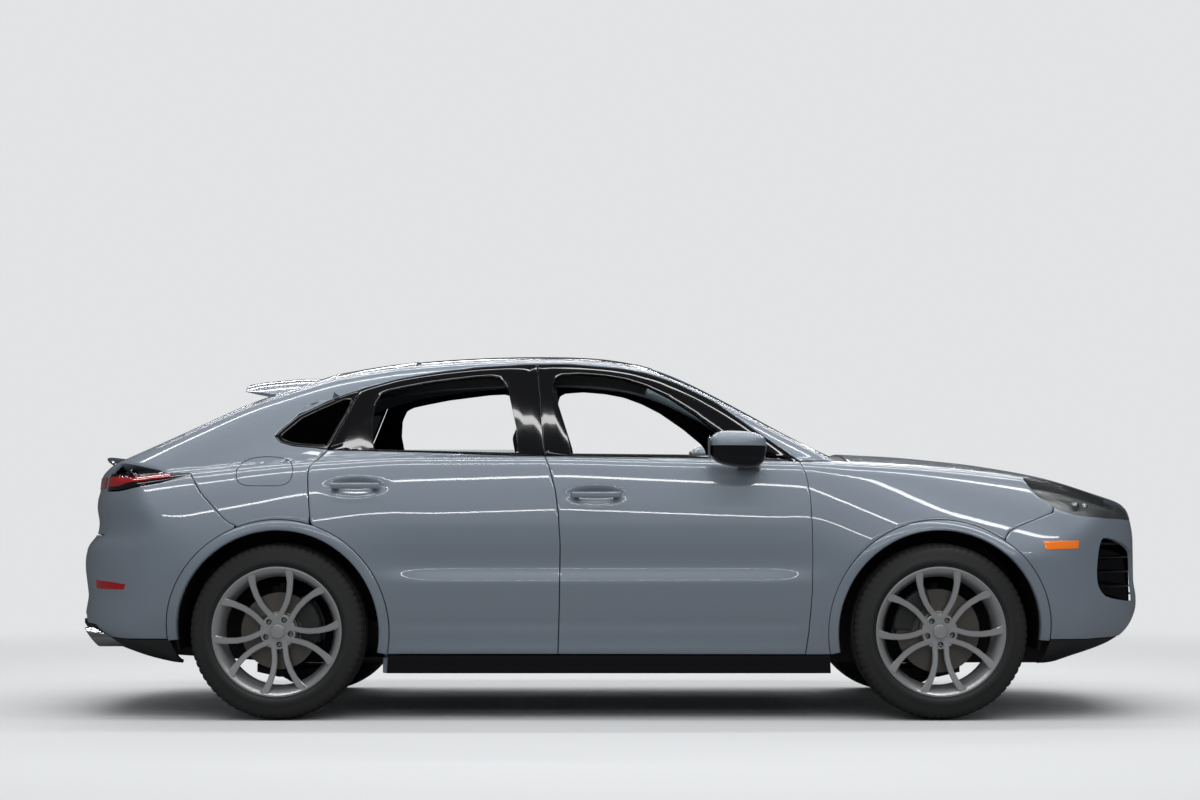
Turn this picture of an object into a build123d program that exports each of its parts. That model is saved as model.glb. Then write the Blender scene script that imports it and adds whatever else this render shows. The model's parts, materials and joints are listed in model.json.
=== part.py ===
from build123d import *
import os
from math import cos, radians, sin

os.makedirs("parts", exist_ok=True)

# The car lies along X with its nose to +X, its left side to +Y, and stands on z = 0.
# Lengths are in millimetres. Shares along x are of the length, across y of the half
# width, and up z of the height.
length = 4930.0
width = 1983.0
height = 1650.0
wheelbase = 2895.0
front_overhang = 1025.0
half_width = width / 2
front_axle_x = length / 2 - front_overhang
rear_axle_x = front_axle_x - wheelbase

# Walls and gaps
panel_wall = 30.0
shut_gap = 5.0
seat_gap = 0.3
glass_wall = 6.0
overrun = 60.0
above_roof = height + overrun

# Wheels
tyre_radius = 385.0
tyre_width = 285.0
tyre_face_y = 970.0
rim_radius = 284.0
rim_wall = 14.0
wheel_y = tyre_face_y - tyre_width / 2
axle_z = tyre_radius
arch_radius = 440.0
arch_trim_width = 48.0
well_inner_y = 470.0

# Doors
door_inner_y = 835.0
door_step_y = 900.0
door_step = 14.0
pillar_outer_y = 795.0
pillar_depth = 55.0


def x_at(share):
    return share * length


def y_at(share):
    return share * half_width


def z_at(share):
    return share * height


def side_points(shares):
    return [(x_at(x_share), z_at(z_share)) for x_share, z_share in shares]


def plan_points(shares):
    return [(x_at(x_share), y_at(y_share)) for x_share, y_share in shares]


def side_prism(points, y_low, y_high, grow=0.0):
    """A side view outline stretched across the car from y_low to y_high."""
    with BuildPart() as prism:
        with BuildSketch(Plane.XZ.offset(-y_low)):
            with BuildLine():
                Polyline(*points, close=True)
            make_face()
            if grow:
                offset(amount=grow, kind=Kind.INTERSECTION)
        extrude(amount=y_low - y_high)
    return prism.part


def plan_prism(points, z_low, z_high, grow=0.0):
    """A top view outline, given for one side and mirrored, stretched upwards."""
    with BuildPart() as prism:
        with BuildSketch(Plane.XY.offset(z_low)):
            with BuildLine():
                Polyline(*points)
                mirror(about=Plane.XZ)
            make_face()
            if grow:
                offset(amount=grow, kind=Kind.INTERSECTION)
        extrude(amount=z_high - z_low)
    return prism.part


def section_prism(points, x_low, x_high):
    """A front view outline stretched along the car."""
    with BuildPart() as prism:
        with BuildSketch(Plane.YZ.offset(x_low)):
            with BuildLine():
                Polyline(*points, close=True)
            make_face()
        extrude(amount=x_high - x_low)
    return prism.part


def block(x_low, x_high, y_low, y_high, z_low, z_high):
    with BuildPart() as solid:
        with Locations(((x_low + x_high) / 2, (y_low + y_high) / 2, (z_low + z_high) / 2)):
            Box(x_high - x_low, y_high - y_low, z_high - z_low)
    return solid.part


def drum(x, z, radius, y_low, y_high):
    """A round bar across the car."""
    with BuildPart() as solid:
        with BuildSketch(Plane.XZ.offset(-y_low)):
            with Locations((x, z)):
                Circle(radius)
        extrude(amount=y_low - y_high)
    return solid.part


# Cross sections of the lower body: place, underside height and half width, widest height
# and half width, shoulder height and half width, crown height
lower_shares = [
    (-0.5314, 0.1818, 0.7060, 0.3879, 0.9531, 0.6000, 0.8069, 0.6545),
    (-0.4158, 0.1394, 0.8069, 0.4000, 0.9864, 0.6424, 0.8573, 0.6939),
    (-0.2951, 0.1152, 0.8573, 0.4242, 1.0, 0.6788, 0.8976, 0.7212),
    (-0.1927, 0.1152, 0.8573, 0.4242, 0.9783, 0.6970, 0.9007, 0.7212),
    (-0.0406, 0.1152, 0.8573, 0.4242, 0.9662, 0.6970, 0.9007, 0.7212),
    (0.1785, 0.1152, 0.8573, 0.4242, 0.9733, 0.6818, 0.8956, 0.7212),
    (0.2921, 0.1152, 0.8573, 0.4485, 1.0, 0.6667, 0.8069, 0.7103),
    (0.3955, 0.1152, 0.8069, 0.4242, 0.9834, 0.6364, 0.7463, 0.6679),
    (0.5314, 0.1818, 0.7060, 0.3636, 0.9380, 0.5152, 0.7060, 0.5818),
]
side_bulge_share = 0.06

# Cross sections of the glasshouse: place, rail height and half width, roof height, base half width
upper_shares = [
    (0.2211, 0.6576, 0.7968, 0.6909, 0.8896),
    (0.1596, 0.7545, 0.7413, 0.7818, 0.9249),
    (0.1032, 0.8533, 0.6959, 0.8848, 0.9329),
    (0.0471, 0.9273, 0.6606, 0.9624, 0.9329),
    (-0.0093, 0.9588, 0.6455, 0.9958, 0.9309),
    (-0.0795, 0.9636, 0.6404, 1.0, 0.9279),
    (-0.2000, 0.9424, 0.6304, 0.9800, 0.9178),
    (-0.2554, 0.9164, 0.6253, 0.9564, 0.9097),
    (-0.3318, 0.8436, 0.6455, 0.8758, 0.8896),
    (-0.4085, 0.7382, 0.6858, 0.7648, 0.8512),
    (-0.4726, 0.6545, 0.7161, 0.6776, 0.8139),
]
upper_base_share = 0.5818
glass_bulge_share = 0.035

# Nose and tail seen from the side
profile_shares = [
    (-0.3712, 0.1091), (-0.4442, 0.1564), (-0.4757, 0.1915), (-0.5000, 0.2376), (-0.5000, 0.2673),
    (-0.4961, 0.3164), (-0.5000, 0.3915), (-0.5000, 0.4182), (-0.4982, 0.4558), (-0.4878, 0.4885),
    (-0.4872, 0.5164), (-0.4897, 0.5588), (-0.4888, 0.5855), (-0.4848, 0.6103), (-0.4848, 0.6461),
    (-0.4757, 0.6800), (-0.4544, 0.6970), (-0.4320, 0.7333), (0.2110, 0.7333),
    (0.2150, 0.7188), (0.2732, 0.7115), (0.3404, 0.6915), (0.3852, 0.6691), (0.4158, 0.6497),
    (0.4402, 0.6218), (0.4604, 0.5927), (0.4811, 0.5606), (0.4888, 0.5382), (0.4945, 0.5152),
    (0.4966, 0.4824), (0.4970, 0.3515), (0.5000, 0.3152), (0.5000, 0.2909), (0.4933, 0.2424),
    (0.4838, 0.2091), (0.4665, 0.1818), (0.4361, 0.1545), (0.3955, 0.1091),
]

# Nose and tail seen from above: place along and across
plan_shares = [
    (-0.5000, 0), (-0.4966, 0.2824), (-0.4801, 0.6051), (-0.4665, 0.7514), (-0.4442, 0.8674),
    (-0.4158, 0.9481), (-0.3753, 1.0), (0.3651, 1.0), (0.4016, 0.9581), (0.4280, 0.8976),
    (0.4533, 0.8069), (0.4716, 0.7060), (0.4834, 0.6051), (0.4961, 0.2824), (0.5000, 0),
]


def lower_body(inset):
    """The body below the windows, drawn in by inset on every face."""
    with BuildPart() as body:
        for x, z_low, y_low, z_wide, y_wide, z_edge, y_edge, z_crown in lower_shares:
            bottom = (y_at(y_low) - inset, z_at(z_low) + inset)
            wide = (y_at(y_wide) - inset, z_at(z_wide))
            edge = (y_at(y_edge) - inset, z_at(z_edge) - inset)
            rise = edge[1] - wide[1]
            middle = (
                (wide[0] + edge[0]) / 2 + side_bulge_share * rise,
                (wide[1] + edge[1]) / 2 + side_bulge_share * (wide[0] - edge[0]),
            )
            with BuildSketch(Plane.YZ.offset(x_at(x))):
                with BuildLine():
                    Line((-bottom[0], bottom[1]), bottom)
                    Line(bottom, wide)
                    ThreePointArc(wide, middle, edge)
                    ThreePointArc(edge, (0, z_at(z_crown) - inset), (-edge[0], edge[1]))
                    ThreePointArc(
                        (-edge[0], edge[1]), (-middle[0], middle[1]), (-wide[0], wide[1])
                    )
                    Line((-wide[0], wide[1]), (-bottom[0], bottom[1]))
                make_face()
        loft(ruled=True)
        add(
            side_prism(side_points(profile_shares), -width, width, -inset),
            mode=Mode.INTERSECT,
        )
        add(
            plan_prism(plan_points(plan_shares), 0, height, -inset),
            mode=Mode.INTERSECT,
        )
    return body.part


def upper_body(inset):
    """The glasshouse, drawn in by inset at its sides and roof."""
    with BuildPart() as body:
        for x, z_rail, y_rail, z_roof, y_base in upper_shares:
            base = (y_at(y_base) - inset, z_at(upper_base_share))
            rail = (y_at(y_rail) - inset, z_at(z_rail) - inset)
            rise = rail[1] - base[1]
            middle = (
                (base[0] + rail[0]) / 2 + glass_bulge_share * rise,
                (base[1] + rail[1]) / 2 + glass_bulge_share * (base[0] - rail[0]),
            )
            with BuildSketch(Plane.YZ.offset(x_at(x))):
                with BuildLine():
                    Line((-base[0], base[1]), base)
                    ThreePointArc(base, middle, rail)
                    ThreePointArc(rail, (0, z_at(z_roof) - inset), (-rail[0], rail[1]))
                    ThreePointArc(
                        (-rail[0], rail[1]), (-middle[0], middle[1]), (-base[0], base[1])
                    )
                make_face()
        loft(ruled=True)
        add(
            plan_prism(plan_points(plan_shares), 0, above_roof, -inset),
            mode=Mode.INTERSECT,
        )
    return body.part


# Outer skin of the whole car, all panels are cut from it
lower_outer = lower_body(0)
upper_outer = upper_body(0)
lower_inner = lower_body(panel_wall)
upper_inner = upper_body(panel_wall)

with BuildPart() as skin:
    add(lower_outer)
    add(upper_outer)
    add(lower_inner, mode=Mode.SUBTRACT)
    add(upper_inner, mode=Mode.SUBTRACT)

# Openings in the side: front door, rear door and their windows, as side views
door_split_shares = [
    (-0.0438, 0.1715), (-0.0513, 0.4655), (-0.0552, 0.6073), (-0.0576, 0.7000), (-0.0645, 0.9485),
]
front_door_shares = [
    (0.1694, 0.6842), (0.1755, 0.6424), (0.1785, 0.5758), (0.1789, 0.4606), (0.1785, 0.3339),
    (0.1759, 0.2321), (0.1730, 0.1715), *door_split_shares, (-0.0383, 0.9564), (0.0089, 0.9436),
    (0.0327, 0.9315), (0.0609, 0.9024), (0.0951, 0.8485), (0.1288, 0.7788),
]
front_window_shares = [
    (-0.0353, 0.7067), (-0.0531, 0.8970), (-0.0458, 0.9224), (-0.0268, 0.9273), (0.0154, 0.9121),
    (0.0535, 0.8624), (0.0923, 0.7909), (0.1014, 0.7697), (0.1055, 0.7042),
]
front_corner_glass_shares = [
    (0.1091, 0.7545), (0.1298, 0.7303), (0.1602, 0.7061), (0.1116, 0.7042),
]
rear_door_shares = [
    *door_split_shares,
    (-0.0710, 0.9497), (-0.1154, 0.9448), (-0.1542, 0.9339), (-0.1927, 0.9152), (-0.2252, 0.8879),
    (-0.2314, 0.8673), (-0.2548, 0.7212), (-0.2708, 0.6673), (-0.2688, 0.6061),
    (-0.2653, 0.5115), (-0.2535, 0.3636), (-0.1895, 0.2424), (-0.1895, 0.1715),
]
rear_window_shares = [
    (-0.2138, 0.7152), (-0.2176, 0.8061), (-0.2105, 0.8703), (-0.1984, 0.8824), (-0.1655, 0.9000),
    (-0.1237, 0.9158), (-0.1055, 0.9188), (-0.0923, 0.8909), (-0.0862, 0.7673), (-0.0842, 0.7097),
]
quarter_glass_shares = [
    (-0.2982, 0.7576), (-0.2819, 0.8030), (-0.2363, 0.8576), (-0.2525, 0.7333), (-0.2860, 0.7364),
]
front_window_points = side_points(front_window_shares)
rear_window_points = side_points(rear_window_shares)
corner_glass_points = side_points(front_corner_glass_shares)
quarter_glass_points = side_points(quarter_glass_shares)
front_door_points = side_points(front_door_shares)
rear_door_points = side_points(rear_door_shares)

trim_radius = arch_radius + arch_trim_width
arch_places = [(front_axle_x, axle_z), (rear_axle_x, axle_z)]
side_low_y = half_width / 2
roof_edge_share = 0.6051
roof_edge_y = y_at(roof_edge_share)
side_high_y = half_width + overrun


def arch_drums(radius, y_low, y_high):
    return [drum(x, z, radius, y_low, y_high) for x, z in arch_places]


front_opening = side_prism(front_door_points, roof_edge_y, side_high_y, shut_gap / 2)
rear_opening = side_prism(rear_door_points, roof_edge_y, side_high_y, shut_gap / 2)
trim_drums = arch_drums(trim_radius + shut_gap / 2, -side_high_y, side_high_y)

# Split lines between the side panels and the hood, windscreen, roof and tailgate, seen
# from above
hood_shares = [
    (0.2158, 0), (0.2154, 0.7514), (0.3448, 0.6959), (0.3955, 0.6455), (0.4300, 0.5648),
    (0.4594, 0.4740), (0.4746, 0.3026), (0.4811, 0),
]
windscreen_shares = [(0.0406, 0), (0.0406, 0.6051), (0.2154, 0.7635), (0.2231, 0)]
roof_shares = [(-0.2546, 0), (-0.2546, 0.6051), (0.0406, 0.6051), (0.0406, 0)]
roof_glass_shares = [
    (-0.1826, 0), (-0.1826, 0.4841), (-0.1744, 0.5144), (0.0122, 0.5144), (0.0203, 0.4841), (0.0243, 0),
]
gate_shares = [
    (-0.5274, 0), (-0.5274, 0.7060), (-0.4726, 0.7060), (-0.4361, 0.6959), (-0.3448, 0.6455),
    (-0.2546, 0.6051), (-0.2546, 0),
]
backlight_shares = [
    (-0.4219, 0), (-0.4178, 0.5648), (-0.3448, 0.5446), (-0.2759, 0.5144), (-0.2718, 0),
]
gate_low_share = 0.4848
clear = shut_gap / 2

hood_swing_gap = 12.0
hood_low_z = height / 2
hood_sweep = plan_prism(plan_points(hood_shares), hood_low_z, above_roof, hood_swing_gap)
hood_zone = plan_prism(plan_points(hood_shares), hood_low_z, above_roof, -clear)
windscreen_zone = plan_prism(plan_points(windscreen_shares), hood_low_z, above_roof, -clear)
roof_zone = plan_prism(plan_points(roof_shares), hood_low_z, above_roof, -clear)
gate_zone = plan_prism(
    plan_points(gate_shares), z_at(gate_low_share) + clear, above_roof, -clear
)
middle_cut = [
    plan_prism(plan_points(shares), z_low, above_roof, clear)
    for shares, z_low in (
        (hood_shares, hood_low_z),
        (windscreen_shares, hood_low_z),
        (roof_shares, hood_low_z),
        (gate_shares, z_at(gate_low_share)),
    )
]

# Lamps, bumpers and fenders, as side views
lamp_edge_shares = [
    (0.4034, 0.5558), (0.4176, 0.5424), (0.4337, 0.5370), (0.4613, 0.5309), (0.5274, 0.5261),
]
bumper_split_shares = [(0.2992, 0.2091), (0.3438, 0.4867), (0.3968, 0.5491), (0.3980, 0.5648)]
headlamp_shares = [
    (0.3736, 0.6406), (0.3878, 0.5818), (0.3980, 0.5648), *lamp_edge_shares, (0.5274, 0.6515),
    (0.3976, 0.6515),
]
fender_front_shares = [
    (0.1730, 0.1715), (0.2921, 0.1715), *bumper_split_shares, (0.3878, 0.5818), (0.3736, 0.6406),
    (0.3976, 0.6515), (0.5274, 0.6515), (0.5274, 0.7879), (0.1420, 0.7879), (0.1420, 0.1715),
]
front_bumper_shares = [*bumper_split_shares, *lamp_edge_shares, (0.5274, 0.2091)]
tail_edge_shares = [(-0.3779, 0.6527), (-0.4016, 0.6333), (-0.4462, 0.6109), (-0.5274, 0.6048)]
tail_top_shares = [(-0.5274, 0.6558), (-0.4462, 0.6667), (-0.4016, 0.6655)]
tail_lamp_shares = [*tail_edge_shares, *tail_top_shares]
rear_bumper_shares = [
    (-0.2951, 0.2133), (-0.2951, 0.5170), (-0.3327, 0.5170), *tail_edge_shares, (-0.5274, 0.2133),
]
quarter_shares = [
    (-0.5274, 0.9697), (-0.2028, 0.9697), (-0.2028, 0.1715), (-0.2951, 0.1715), (-0.2951, 0.5170),
    (-0.3327, 0.5170), (-0.3779, 0.6527), (-0.4016, 0.6655), (-0.4462, 0.6667), (-0.5274, 0.6558),
]
lower_valance_share = 0.2091
rear_valance_share = 0.2133
lamp_depth = 70.0
headlamp_inner_share = 0.4740
tail_lamp_inner_share = 0.6253

wide = half_width + overrun
long = length / 2 + overrun


def both_sides(piece):
    """The left-hand piece and its mirror image on the right."""
    with BuildPart() as pair:
        add(piece)
        mirror(piece, about=Plane.XZ)
    return pair.part


def write(part, label):
    part.label = label
    export_step(part, "parts/" + label + ".step")
    solids = part.solids()
    print(label, len(solids), [round(s.volume / 1e6, 2) for s in solids][:8], flush=True)


# Hood, cowl and glass of the body
hood_stop_depth = panel_wall + seat_gap
lower_seat = lower_body(hood_stop_depth)

with BuildPart() as hood:
    add(skin.part)
    add(hood_zone, mode=Mode.INTERSECT)
write(hood.part, "hood")

with BuildPart() as lower_skin:
    add(lower_outer)
    add(lower_inner, mode=Mode.SUBTRACT)
    add(upper_outer, mode=Mode.SUBTRACT)

cowl_shares = [(0.1957, 0), (0.1957, 0.7635), (0.2158, 0.7635), (0.2158, 0)]
cowl_zone = plan_prism(plan_points(cowl_shares), hood_low_z, height)
with BuildPart() as cowl_panel:
    add(lower_skin.part)
    add(cowl_zone, mode=Mode.INTERSECT)
    add(middle_cut[0], mode=Mode.SUBTRACT)
write(cowl_panel.part, "cowl_panel")

roof_glass_zone = plan_prism(plan_points(roof_glass_shares), hood_low_z, above_roof)
with BuildPart() as glass_skin:
    add(upper_outer)
    add(upper_body(glass_wall), mode=Mode.SUBTRACT)
with BuildPart() as windscreen:
    add(glass_skin.part)
    add(windscreen_zone, mode=Mode.INTERSECT)
    add(lower_outer, mode=Mode.SUBTRACT)
with BuildPart() as roof_glass:
    add(glass_skin.part)
    add(roof_glass_zone, mode=Mode.INTERSECT)
with BuildPart() as quarter_glass:
    add(glass_skin.part)
    add(side_prism(quarter_glass_points, 0, wide), mode=Mode.INTERSECT)
with BuildPart() as fixed_glass:
    add(windscreen.part)
    add(roof_glass.part)
    add(both_sides(quarter_glass.part))
write(fixed_glass.part, "fixed_glass")

# Roof, front fenders and the body sides with their sills and pillars
with BuildPart() as roof_panel:
    add(skin.part)
    add(roof_zone, mode=Mode.INTERSECT)
    add(roof_glass_zone, mode=Mode.SUBTRACT)
write(roof_panel.part, "roof_panel")

with BuildPart() as front_fender:
    add(lower_skin.part)
    add(side_prism(side_points(fender_front_shares), 0, wide), mode=Mode.INTERSECT)
    for cutter in (middle_cut[0], middle_cut[1], cowl_zone, front_opening, *trim_drums):
        add(cutter, mode=Mode.SUBTRACT)
write(both_sides(front_fender.part), "front_fenders")

sill_low_share = 0.1152
sill_top_share = 0.1715
sill_inner_top_share = 0.2545
step_low_share = 0.1818
step_top_share = 0.2424
floor_half_width = pillar_outer_y - pillar_depth
sill_front_share = 0.1927
sill_rear_share = -0.2028
step_places = [(-0.0284, 0.1501), (-0.1826, -0.0852)]
pillar_rear_share = -0.0700
pillar_front_share = -0.0456
pillar_neck_y = 812.0
pillar_neck_low_share = 0.6424
pillar_neck_top_share = 0.7455
pillar_upper_low_share = 0.7061
pillar_wall = 30.0
post_rear_share = 0.1811
post_front_share = 0.1947
post_outer_y = 880.0
post_top_share = 0.6545
pillar_head_share = 0.5648
pillar_head_low_share = 0.9091
rail_front_share = 0.2154

x_pillar = (x_at(pillar_rear_share), x_at(pillar_front_share))
with BuildPart() as pillar_upper:
    add(upper_body(panel_wall + shut_gap))
    add(upper_body(panel_wall + shut_gap + pillar_wall), mode=Mode.SUBTRACT)
    add(
        block(*x_pillar, side_low_y, wide, z_at(pillar_upper_low_share), height),
        mode=Mode.INTERSECT,
    )
with BuildPart() as pillar_head:
    add(upper_inner)
    add(upper_body(panel_wall + pillar_wall), mode=Mode.SUBTRACT)
    add(
        block(*x_pillar, y_at(pillar_head_share), roof_edge_y, z_at(pillar_head_low_share), height),
        mode=Mode.INTERSECT,
    )
with BuildPart() as pillar_neck:
    add(upper_body(panel_wall + shut_gap))
    add(
        block(
            *x_pillar, floor_half_width, pillar_neck_y,
            z_at(pillar_neck_low_share), z_at(pillar_neck_top_share),
        ),
        mode=Mode.INTERSECT,
    )
with BuildPart() as sill:
    add(lower_outer)
    add(
        block(
            x_at(sill_rear_share), x_at(sill_front_share), floor_half_width, wide,
            z_at(sill_low_share), z_at(sill_top_share),
        ),
        mode=Mode.INTERSECT,
    )

with BuildPart() as side_skin:
    add(skin.part)
    add(side_prism(side_points(quarter_shares), side_low_y, side_high_y), mode=Mode.INTERSECT)
with BuildPart() as rail_skin:
    add(upper_outer)
    add(upper_inner, mode=Mode.SUBTRACT)
    add(
        block(x_at(sill_rear_share), x_at(rail_front_share), side_low_y, wide, 0, above_roof),
        mode=Mode.INTERSECT,
    )

with BuildPart() as body_side_left:
    add(side_skin.part)
    add(rail_skin.part)
    add(sill.part)
    for cutter in (*middle_cut, front_opening, rear_opening):
        add(cutter, mode=Mode.SUBTRACT)
    add(side_prism(quarter_glass_points, 0, wide), mode=Mode.SUBTRACT)
    add(
        block(
            x_at(sill_rear_share), x_at(sill_front_share), floor_half_width, pillar_outer_y,
            z_at(sill_low_share), z_at(sill_inner_top_share),
        )
    )
    for x_low, x_high in step_places:
        add(
            block(
                x_at(x_low), x_at(x_high), floor_half_width, door_inner_y - seat_gap,
                z_at(step_low_share), z_at(step_top_share),
            )
        )
    add(
        block(
            *x_pillar, floor_half_width, pillar_outer_y,
            z_at(step_low_share), z_at(pillar_neck_low_share) + pillar_wall,
        )
    )
    add(pillar_neck.part)
    add(pillar_upper.part)
    add(pillar_head.part)
    add(
        block(
            x_at(post_rear_share), x_at(post_front_share), floor_half_width, post_outer_y,
            z_at(sill_low_share) + panel_wall, z_at(post_top_share),
        )
        & lower_inner
    )
    for cutter in trim_drums:
        add(cutter, mode=Mode.SUBTRACT)
write(body_side_left.part, "body_side_left")

# Fuel flap in the right-hand side
flap_shares = [(-0.3345, 0.6188), (-0.2834, 0.6188), (-0.2834, 0.6970), (-0.3345, 0.6970)]
flap_wall = 12.0
flap_points = side_points(flap_shares)
with BuildPart() as fuel_flap:
    add(lower_outer)
    add(lower_body(flap_wall), mode=Mode.SUBTRACT)
    add(side_prism(flap_points, -wide, -side_low_y), mode=Mode.INTERSECT)
    add(upper_outer, mode=Mode.SUBTRACT)
write(fuel_flap.part, "fuel_flap")
with BuildPart() as flap_pocket:
    add(lower_outer)
    add(lower_body(flap_wall + seat_gap), mode=Mode.SUBTRACT)
    add(side_prism(flap_points, -wide, -side_low_y, shut_gap), mode=Mode.INTERSECT)
with BuildPart() as body_side_right:
    mirror(body_side_left.part, about=Plane.XZ)
    add(flap_pocket.part, mode=Mode.SUBTRACT)
write(body_side_right.part, "body_side_right")


# Doors: a deep shell below the belt and a window frame above it
def door(outline, windows, cutters):
    with BuildPart() as leaf:
        add(lower_outer)
        add(
            side_prism(outline, door_step_y, side_high_y, -clear)
            + side_prism(outline, door_inner_y, door_step_y, -clear - door_step),
            mode=Mode.INTERSECT,
        )
    with BuildPart() as frame:
        add(upper_outer)
        add(upper_inner, mode=Mode.SUBTRACT)
        add(
            side_prism(outline, roof_edge_y + shut_gap, side_high_y, -clear),
            mode=Mode.INTERSECT,
        )
        add(
            block(-long, long, 0, wide, z_at(door_frame_low_share), above_roof),
            mode=Mode.INTERSECT,
        )
    with BuildPart() as whole:
        add(leaf.part)
        add(frame.part)
        for cutter in (*windows, *cutters):
            add(cutter, mode=Mode.SUBTRACT)
    return whole.part


door_frame_low_share = 0.6667
front_window = side_prism(front_window_points, 0, wide)
rear_window = side_prism(rear_window_points, 0, wide)
corner_window = side_prism(corner_glass_points, 0, wide)
door_front_left = door(front_door_points, (front_window, corner_window), ())
door_rear_left = door(rear_door_points, (rear_window,), trim_drums)
write(door_front_left, "door_front_left")
write(door_rear_left, "door_rear_left")
write(mirror(door_front_left, about=Plane.XZ), "door_front_right")
write(mirror(door_rear_left, about=Plane.XZ), "door_rear_right")

with BuildPart() as door_glass_front_left:
    add(glass_skin.part)
    add(side_prism(corner_glass_points, 0, wide), mode=Mode.INTERSECT)
write(door_glass_front_left.part, "door_glass_front_left")
write(mirror(door_glass_front_left.part, about=Plane.XZ), "door_glass_front_right")
rear_pane_share = 0.7485
with BuildPart() as door_glass_rear_left:
    add(glass_skin.part)
    add(rear_window, mode=Mode.INTERSECT)
    add(block(-long, long, 0, wide, 0, z_at(rear_pane_share)), mode=Mode.INTERSECT)
write(door_glass_rear_left.part, "door_glass_rear_left")

# Outside mirrors on the front doors
mirror_length_share = 0.0479
mirror_depth = 160.0
mirror_rise = 150.0
mirror_x_share = 0.1122
mirror_z_share = 0.7230
mirror_y = 1017.0
mirror_round = 45.0
foot_shares = [(0.1136, 0.6545), (0.1349, 0.6545), (0.1318, 0.6879), (0.1156, 0.6879)]
with BuildPart() as mirror_left:
    with Locations((x_at(mirror_x_share), mirror_y, z_at(mirror_z_share))):
        Box(x_at(mirror_length_share), mirror_depth, mirror_rise)
    fillet(mirror_left.edges(), mirror_round)
    add(side_prism(side_points(foot_shares), pillar_outer_y, mirror_y))
    add(lower_outer, mode=Mode.SUBTRACT)
    add(upper_outer, mode=Mode.SUBTRACT)
write(mirror_left.part, "mirror_left")
write(mirror(mirror_left.part, about=Plane.XZ), "mirror_right")

# Tailgate with its glass, lamp bar, roof spoiler and tail blade
backlight_zone = plan_prism(plan_points(backlight_shares), z_at(upper_base_share), height)
gate_lamp_wall = 16.0
tail_lamp_points = side_points(tail_lamp_shares)
with BuildPart() as gate_lamp_band:
    add(lower_outer)
    add(lower_body(gate_lamp_wall), mode=Mode.SUBTRACT)
    add(side_prism(tail_lamp_points, -wide, wide), mode=Mode.INTERSECT)
    add(gate_zone, mode=Mode.INTERSECT)
    add(upper_outer, mode=Mode.SUBTRACT)
with BuildPart() as liftgate:
    add(skin.part)
    add(gate_zone, mode=Mode.INTERSECT)
    add(backlight_zone, mode=Mode.SUBTRACT)
    add(gate_lamp_band.part, mode=Mode.SUBTRACT)
write(liftgate.part, "liftgate")
write(gate_lamp_band.part, "liftgate_lamp")
with BuildPart() as backlight:
    add(glass_skin.part)
    add(backlight_zone, mode=Mode.INTERSECT)
    add(lower_outer, mode=Mode.SUBTRACT)
write(backlight.part, "backlight")

spoiler_shares = [
    (-0.2568, 0.8788, 0.5900, 0.9188, 0.9539),
    (-0.2947, 0.8485, 0.5971, 0.9079, 0.9412),
    (-0.3452, 0.8861, 0.5648, 0.8958, 0.9248),
]
with BuildPart() as roof_spoiler:
    for x, z_low, y_edge, z_edge, z_top in spoiler_shares:
        edge = (y_at(y_edge), z_at(z_edge))
        with BuildSketch(Plane.YZ.offset(x_at(x))):
            with BuildLine():
                Line((-edge[0], z_at(z_low)), (edge[0], z_at(z_low)))
                Line((edge[0], z_at(z_low)), edge)
                ThreePointArc(edge, (0, z_at(z_top)), (-edge[0], edge[1]))
                Line((-edge[0], edge[1]), (-edge[0], z_at(z_low)))
            make_face()
    loft(ruled=True)
    add(upper_outer, mode=Mode.SUBTRACT)

tail_blade_shares = [
    (-0.4493, 0.6667), (-0.4493, 0.6982), (-0.4564, 0.7030), (-0.4858, 0.7139),
    (-0.4864, 0.7079), (-0.4726, 0.6788),
]
tail_blade_y_share = 0.6051
with BuildPart() as tail_blade:
    add(
        side_prism(
            side_points(tail_blade_shares), -y_at(tail_blade_y_share), y_at(tail_blade_y_share)
        )
    )
    add(lower_outer, mode=Mode.SUBTRACT)
    add(upper_outer, mode=Mode.SUBTRACT)
with BuildPart() as gate_spoilers:
    add(roof_spoiler.part)
    add(tail_blade.part)
write(gate_spoilers.part, "gate_spoilers")

# Front end: bumper, grille and headlamps
grille_shares = [
    (-0.4034, 0.3061), (0.4034, 0.3061), (0.4539, 0.3939), (0.3833, 0.5139), (-0.3833, 0.5139),
    (-0.4539, 0.3939),
]
intake_shares = [(0.5648, 0.3030), (0.8371, 0.3030), (0.8522, 0.3879), (0.8069, 0.4788), (0.6051, 0.4485)]
intake_rear_share = 0.4219
nose_top_rear_share = 0.4564
nose_top_low_share = 0.5261


def section_points(shares):
    return [(y_at(y_share), z_at(z_share)) for y_share, z_share in shares]


grille_zone = section_prism(section_points(grille_shares), x_at(intake_rear_share), long)
intake_zone = section_prism(section_points(intake_shares), x_at(intake_rear_share), long)
nose_top_zone = block(
    x_at(nose_top_rear_share), long, 0, y_at(headlamp_inner_share), z_at(nose_top_low_share), height
)
with BuildPart() as nose_top:
    add(skin.part)
    add(both_sides(nose_top_zone), mode=Mode.INTERSECT)
with BuildPart() as front_bumper:
    add(lower_skin.part)
    add(side_prism(side_points(front_bumper_shares), -wide, wide), mode=Mode.INTERSECT)
    add(nose_top.part)
    for cutter in (grille_zone, both_sides(intake_zone), hood_sweep, *trim_drums):
        add(cutter, mode=Mode.SUBTRACT)
write(front_bumper.part, "front_bumper")

with BuildPart() as front_valance:
    add(lower_skin.part)
    add(
        block(front_axle_x, long, -wide, wide, 0, z_at(lower_valance_share)),
        mode=Mode.INTERSECT,
    )
    for cutter in trim_drums:
        add(cutter, mode=Mode.SUBTRACT)
write(front_valance.part, "front_valance")

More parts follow.
